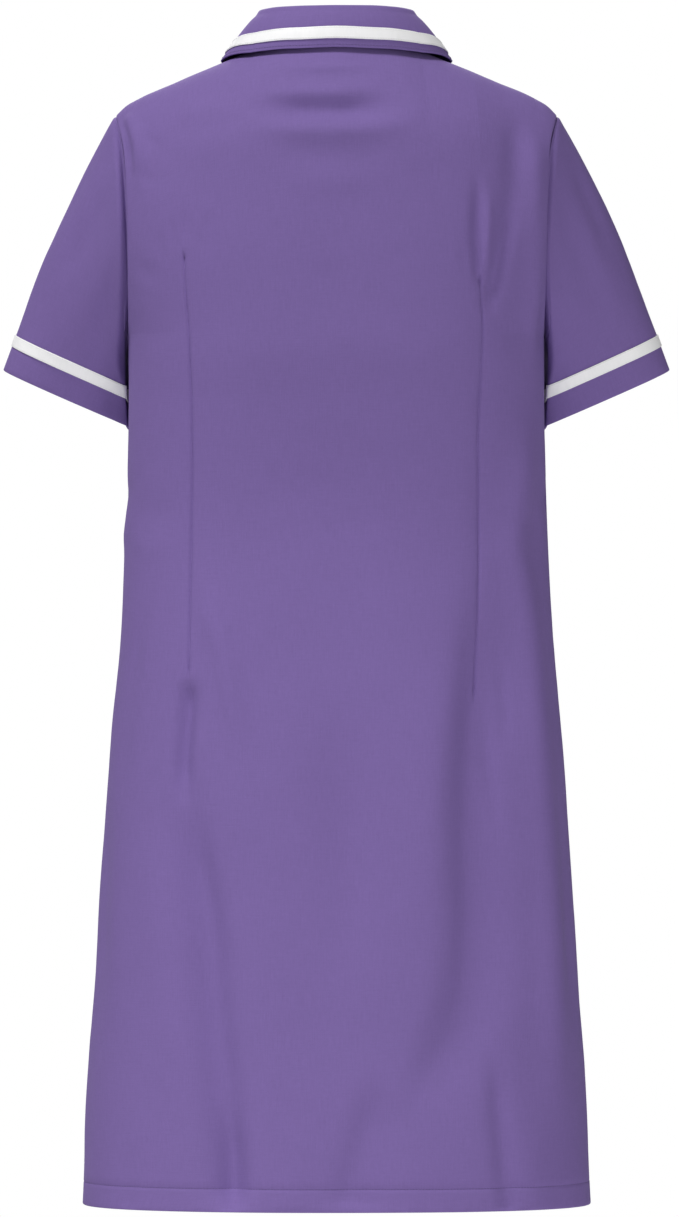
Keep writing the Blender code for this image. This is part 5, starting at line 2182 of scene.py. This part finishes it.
@dataclass
class Buttons:
    """Four-holed buttons down the right front, with their thread."""

    front: BVHTree
    count: int = 8
    top_z: float = -0.085
    pitch: float = 0.105
    radius: float = 0.0085
    thickness: float = 0.0026
    hole_radius: float = 0.00095
    hole_out: float = 0.00185
    seat: float = 0.0004
    steps: int = 40
    hole_sides: int = 14
    lip: float = 0.00012
    lip_angle: float = 50.0
    sharp_angle: float = 38.0
    strand_radius: float = 0.00021
    strand_gap: float = 0.00030
    strand_rise: float = 0.00022
    strand_drop: float = 0.00006
    strand_reach: float = 0.00045
    strand_sink: float = 0.0011

    def seats(self) -> tuple[list[Vector], list[Vector]]:
        """Where the buttons lie on the front, and the way they face."""
        places, facings = [], []
        r = self.radius
        rim = ((0, -r), (0, r), (-r, 0), (r, 0), (0, 0))
        for number in range(self.count):
            z = self.top_z - self.pitch * number
            hits = [
                self.front.ray_cast(Vector((x, -1, z + up)), Vector((0, 1, 0)))[0]
                for x, up in rim
            ]
            low, high, middle = hits[0], hits[1], hits[-1]
            normal = Vector((1, 0, 0)).cross(high - low).normalized()
            proud = max(normal.dot(hit - middle) for hit in hits)
            places.append(middle + normal * (proud + self.seat))
            facings.append(normal)
        return places, facings

    def _disc(self) -> bpy.types.Mesh:
        """One button about Z, its back at 0, with its holes cut through."""
        r, t = self.radius, self.thickness
        model = bmesh.new()
        verts = [model.verts.new((r * out, 0, t * up)) for out, up in BUTTON_PROFILE]
        edges = [model.edges.new(pair) for pair in zip(verts, verts[1:])]
        bmesh.ops.spin(
            model, geom=verts + edges, cent=(0, 0, 0), axis=(0, 0, 1),
            angle=2 * math.pi, steps=self.steps,
        )
        bmesh.ops.remove_doubles(model, verts=model.verts, dist=1e-6)
        bmesh.ops.recalc_face_normals(model, faces=model.faces)
        mesh = mesh_of(model, "button_disc")
        cutter = bmesh.new()
        for a, b in ((1, 1), (1, -1), (-1, 1), (-1, -1)):
            place = Matrix.Translation((a * self.hole_out, b * self.hole_out, 0))
            bmesh.ops.create_cone(
                cutter, cap_ends=True, segments=self.hole_sides, radius1=self.hole_radius,
                radius2=self.hole_radius, depth=6 * t, matrix=place,
            )
        return self._cut(mesh, mesh_of(cutter, "button_holes"))

    def _cut(self, mesh: bpy.types.Mesh, holes: bpy.types.Mesh) -> bpy.types.Mesh:
        """The mesh with the holes taken out of it."""
        scene = bpy.context.scene.collection.objects
        disc = bpy.data.objects.new("button_disc", mesh)
        tool = bpy.data.objects.new("button_holes", holes)
        scene.link(disc)
        scene.link(tool)
        cut = disc.modifiers.new("Holes", "BOOLEAN")
        cut.operation = "DIFFERENCE"
        cut.solver = "EXACT"
        cut.object = tool
        bevel = disc.modifiers.new("Lips", "BEVEL")
        bevel.width = self.lip
        bevel.segments = 1
        bevel.angle_limit = math.radians(self.lip_angle)
        graph = bpy.context.evaluated_depsgraph_get()
        made = bpy.data.meshes.new_from_object(disc.evaluated_get(graph), depsgraph=graph)
        bpy.data.objects.remove(disc, do_unlink=True)
        bpy.data.objects.remove(tool, do_unlink=True)
        made.shade_smooth()
        made.set_sharp_from_angle(angle=math.radians(self.sharp_angle))
        return made

    def _thread(self) -> bpy.types.Mesh:
        """The thread through one button: two bars of three strands that dip into the holes."""
        model = bmesh.new()
        top = self.thickness * 0.60
        for side in (-1, 1):
            for strand in (-1, 0, 1):
                y = side * self.hole_out + strand * self.strand_gap
                lift = top + self.strand_rise - abs(strand) * self.strand_drop
                run = self.hole_out + self.strand_reach
                low = top - self.strand_sink
                chain = [
                    Vector((-run, y, low)), Vector((-run + 0.0001, y, lift - 0.0002)),
                    Vector((-run + 0.0005, y, lift)), Vector((run - 0.0005, y, lift)),
                    Vector((run - 0.0001, y, lift - 0.0002)), Vector((run, y, low)),
                ]
                self._strand(model, chain, self.strand_radius)
        bmesh.ops.recalc_face_normals(model, faces=model.faces)
        mesh = mesh_of(model, "button_strands")
        mesh.shade_smooth()
        return mesh

    @staticmethod
    def _strand(model: bmesh.types.BMesh, chain: Sequence[Vector], radius: float) -> None:
        """Adds a closed tube along a chain that lies in a plane of constant y."""
        sides = 6
        rings = []
        for i, point in enumerate(chain):
            before, after = chain[max(i - 1, 0)], chain[min(i + 1, len(chain) - 1)]
            along = (after - before).normalized()
            across = Vector((0, 1, 0))
            up = along.cross(across)
            ring = []
            for k in range(sides):
                angle = 2 * math.pi * k / sides
                offset = across * math.cos(angle) + up * math.sin(angle)
                ring.append(model.verts.new(point + offset * radius))
            rings.append(ring)
        for low, high in zip(rings, rings[1:]):
            for k in range(sides):
                n = (k + 1) % sides
                model.faces.new((low[k], low[n], high[n], high[k]))
        model.faces.new(rings[0][::-1])
        model.faces.new(rings[-1])

    @staticmethod
    def _set_on(name: str, master: bpy.types.Object) -> Graph:
        """The tree that sets a copy of a piece on each seat, facing out."""
        graph = Graph(name, {"Size": 1.0}, 1)
        inputs = {"Object": master}
        info = graph.add("GeometryNodeObjectInfo", {"transform_space": "ORIGINAL"}, inputs, "Geometry")
        facing = graph.add(
            "GeometryNodeInputNamedAttribute", {"data_type": "FLOAT_VECTOR"}, {"Name": "facing"}
        )
        aim = graph.add("FunctionNodeAlignRotationToVector", {"axis": "Z"}, {"Vector": facing})
        points = graph.add("GeometryNodeMeshToPoints", {}, {"Mesh": graph.size("Geometry")})
        inputs = {"Points": points, "Instance": info, "Rotation": aim, "Scale": graph.size("Size")}
        made = graph.add("GeometryNodeInstanceOnPoints", {}, inputs)
        real = graph.add("GeometryNodeRealizeInstances", {}, {"Geometry": made})
        inputs = {"Geometry": real, "Material": graph.size("Finish")}
        done = graph.add("GeometryNodeSetMaterial", {}, inputs)
        graph.tree.links.new(done, graph.exit.inputs["Geometry"])
        return graph

    def build(self, finishes: Wardrobe) -> None:
        """Makes the buttons and their thread."""
        places, facings = self.seats()
        parts = (
            ("buttons", self._disc(), finishes.button, "button"),
            ("button_thread", self._thread(), finishes.self_thread, "cloth"),
        )
        for name, mesh, finish, slot in parts:
            master = bpy.data.objects.new(name + "_master", mesh)
            base = bpy.data.meshes.new(name)
            base.from_pydata([tuple(place) for place in places], [], [])
            layer = base.attributes.new("facing", "FLOAT_VECTOR", "POINT")
            layer.data.foreach_set("vector", np.array(facings, np.float32).ravel())
            piece = self._set_on(name, master).grow(name, base, finish)
            bpy.data.objects.remove(master, do_unlink=True)
            nodes = [f"button_{n}" for n in range(1, self.count + 1)] if slot == "button" else ()
            Maker.settle(piece, slot, nodes)


class Dress:
    """The whole garment, built piece by piece."""

    thread_lift = 0.00012
    hem_points = 420
    hem_inset = 0.001
    hem_lap_share = 0.96
    placket_points = 700
    placket_climbs = (0.03, 1.985)
    buttonhole = (0.0010, 0.0105)
    buttonhole_steps = (3, 20)
    buttonhole_lift = 0.0001

    def __init__(self, finishes: Wardrobe) -> None:
        """Works out the forms."""
        self.finishes = finishes
        self.dressed = DressedForm()
        self.plan = PanelPlan(self.dressed)
        self.panels = (
            BodyPanel("back_cloth", self.plan, Side.BACK),
            BodyPanel("front_cloth_left", self.plan, Side.FRONT),
            BodyPanel("front_cloth_right", self.plan, Side.FRONT, mirrored=True),
        )
        sleeve = SleeveForm(self.dressed.form)
        self.sleeves = (Sleeve("left", sleeve), Sleeve("right", sleeve))
        self.collar = Collar(self.dressed.form)

    def build_panels(self) -> BVHTree:
        """Makes the back and the fronts.

        Returns:
            A search tree of the right front, for the buttons.
        """
        facts = (
            ("back", Cut(0.590, 1.130, 0.560), ("front_left", "front_right")),
            ("front_left", Cut(0.340, 1.130, 0.300), ("back",)),
            ("front_right", Cut(0.340, 1.130, 0.300), ("back",)),
        )
        tree = None
        for panel, (node, cut, rests) in zip(self.panels, facts):
            grid, normals = panel.grid()
            mesh = grid.mesh(panel.name, normals)
            sewn = Sewn(self.plan.cloth, "cloth", (node,), cut, rests)
            Maker.sheet(mesh, self.finishes.cloth, sewn)
            tree = tree_of([grid.points])
        return tree

    def hem_lines(self) -> list[np.ndarray]:
        """The hem's stitch line on each panel."""
        made = []
        climb = self.plan.hem.turn / self.plan.skirt
        for panel in self.panels:
            start = -1.0
            if panel.side is Side.FRONT:
                start = self.plan.lap_start(climb) * self.hem_lap_share
            shares = np.linspace(start + self.hem_inset, 1 - self.hem_inset, self.hem_points)
            points, normals = panel.surface(shares, np.full(len(shares), climb))
            made.append(points + normals * (self.thread_lift - self.plan.hem.groove))
        return made

    def placket_lines(self) -> list[np.ndarray]:
        """The stitch line beside the right front's edge."""
        panel = self.panels[2]
        climbs = np.linspace(*self.placket_climbs, self.placket_points)
        starts = np.array([self.plan.lap_start(climb) for climb in climbs])
        inset = self.plan.placket.turn / LAP.reach
        points, normals = panel.surface(starts * (1 - inset), climbs)
        return [points + normals * (self.thread_lift - self.plan.placket.groove)]

    def buttonhole_lines(self, buttons: Buttons, tree: BVHTree) -> list[np.ndarray]:
        """The close stitches round each upright buttonhole."""
        half_width, half_length = self.buttonhole
        across_steps, up_steps = self.buttonhole_steps
        made = []
        for number in range(buttons.count):
            z = buttons.top_z - buttons.pitch * number
            route = [
                (-half_width, -half_length), (half_width, -half_length),
                (half_width, half_length), (-half_width, half_length),
                (-half_width, -half_length),
            ]
            chain = []
            for (x0, z0), (x1, z1) in zip(route, route[1:]):
                steps = across_steps if z0 == z1 else up_steps
                for k in range(steps):
                    t = k / steps
                    spot = Vector((x0 + (x1 - x0) * t, -1, z + z0 + (z1 - z0) * t))
                    hit, normal, _, _ = tree.ray_cast(spot, Vector((0, 1, 0)))
                    if normal.y > 0:
                        normal = -normal
                    chain.append(hit + normal * self.buttonhole_lift)
            made.append(np.array([tuple(p) for p in chain]))
        return made

    def build(self) -> None:
        """Makes every piece."""
        finishes = self.finishes
        front = self.build_panels()
        for sleeve in self.sleeves:
            sleeve.build(finishes)
            sleeve.build_tape(finishes)
        self.collar.build(finishes)
        self.collar.build_tape(finishes)
        buttons = Buttons(front)
        buttons.build(finishes)
        Stitching(seed=3).sew("hem_stitches", self.hem_lines(), finishes.self_thread)
        Stitching(seed=5).sew("placket_stitches", self.placket_lines(), finishes.self_thread)
        holes = Stitching(pitch=0.00062, fill=1.6, width=0.00048, wobble=0.25, seed=7)
        lines = self.buttonhole_lines(buttons, front)
        holes.sew("buttonhole_stitches", lines, finishes.self_thread)
        tape = Stitching(pitch=0.0025, width=0.00036, seed=9)
        trims = [line for sleeve in self.sleeves for line in sleeve.stitch_lines()]
        collar_tape, collar_edge = self.collar.stitch_lines()
        tape.sew("tape_stitches", trims + collar_tape, finishes.white_thread)
        Stitching(seed=11).sew("collar_stitches", collar_edge, finishes.self_thread)


class Lamp(NamedTuple):
    """A square soft light that faces the dress."""

    name: str
    place: tuple[float, float, float]
    size: float
    power: float


LAMPS = (
    Lamp("key_light", (4.20, 2.70, 9.40), 3.0, 1060.0),
    Lamp("right_fill", (-3.10, 4.90, -0.30), 1.8, 84.0),
    Lamp("low_fill", (0.20, 1.10, -1.00), 0.8, 2.25),
    Lamp("front_light", (0.3, -4.3, 2.4), 2.2, 120.0),
)


@dataclass(frozen=True)
class Studio:
    """The pale floor, the soft lights and the camera."""

    floor_z: float = -1.50
    floor_radius: float = 6.0
    floor_sides: int = 96
    floor_tone: float = 0.72
    centre: tuple[float, float, float] = (0.0, 0.0, -0.48)
    camera_x: float = -0.0027
    camera_distance: float = 7.5
    camera_z: float = -0.490
    view_height: float = 1.0953
    sensor: float = 36.0
    clip: tuple[float, float] = (0.05, 100.0)
    world_strength: float = 0.205

    def light(self, lamp: Lamp) -> None:
        """Hangs a light and aims it."""
        data = bpy.data.lights.new(lamp.name, "AREA")
        data.shape = "SQUARE"
        data.size = lamp.size
        data.energy = lamp.power
        hung = bpy.data.objects.new(lamp.name, data)
        hung.location = lamp.place
        aim = Vector(self.centre) - Vector(lamp.place)
        hung.rotation_mode = "QUATERNION"
        hung.rotation_quaternion = aim.to_track_quat("-Z", "Y")
        hung.visible_camera = False
        bpy.context.scene.collection.objects.link(hung)

    def build(self) -> None:
        """Sets up the whole studio."""
        scene = bpy.context.scene
        scene.view_settings.view_transform = "Standard"
        self._world(scene)
        self._floor()
        for lamp in LAMPS:
            self.light(lamp)
        camera = bpy.data.cameras.new("camera")
        camera.sensor_fit = "AUTO"
        camera.sensor_width = self.sensor
        camera.lens = self.sensor * self.camera_distance / self.view_height
        camera.clip_start, camera.clip_end = self.clip
        holder = bpy.data.objects.new("camera", camera)
        holder.location = (self.camera_x, self.camera_distance, self.camera_z)
        holder.rotation_euler = (math.pi / 2, 0.0, math.pi)
        scene.collection.objects.link(holder)
        scene.camera = holder

    def _world(self, scene: bpy.types.Scene) -> None:
        """A plain white surround that lights the dress less than it shows."""
        world = bpy.data.worlds.new("studio")
        scene.world = world
        world.use_nodes = True
        tree = world.node_tree
        tree.nodes.clear()
        white = (1.0, 1.0, 1.0, 1.0)
        lit, shown = (
            make_node(tree, "ShaderNodeBackground", {}, {"Color": white, "Strength": strength})
            for strength in (self.world_strength, 1.0)
        )
        ray = make_node(tree, "ShaderNodeLightPath", {}, {})
        inputs = {0: ray.outputs["Is Camera Ray"], 1: lit.outputs[0], 2: shown.outputs[0]}
        mix = make_node(tree, "ShaderNodeMixShader", {}, inputs)
        make_node(tree, "ShaderNodeOutputWorld", {}, {"Surface": mix.outputs[0]})

    def _floor(self) -> None:
        """A plain pale floor."""
        model = bmesh.new()
        bmesh.ops.create_circle(
            model, cap_ends=True, segments=self.floor_sides, radius=self.floor_radius
        )
        bmesh.ops.translate(model, verts=model.verts, vec=(0, 0, self.floor_z))
        mesh = mesh_of(model, "floor")
        shader = Shader("pale_floor")
        place = shader.node("ShaderNodeTexCoord", output="Object")
        factor = 1 + shader.mottle(place, 3.0) * 0.01
        colour = shader.shaded((self.floor_tone,) * 3, factor)
        finish = shader.dress(Base_Color=colour, Roughness=0.9, Specular_IOR_Level=0.1)
        Maker.add("floor", mesh, finish)


def main() -> None:
    """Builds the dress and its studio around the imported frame."""
    logging.basicConfig(level=logging.INFO, format="%(name)s: %(message)s")
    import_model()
    Studio().build()
    Dress(Wardrobe.make()).build()


if __name__ == "__main__":
    main()
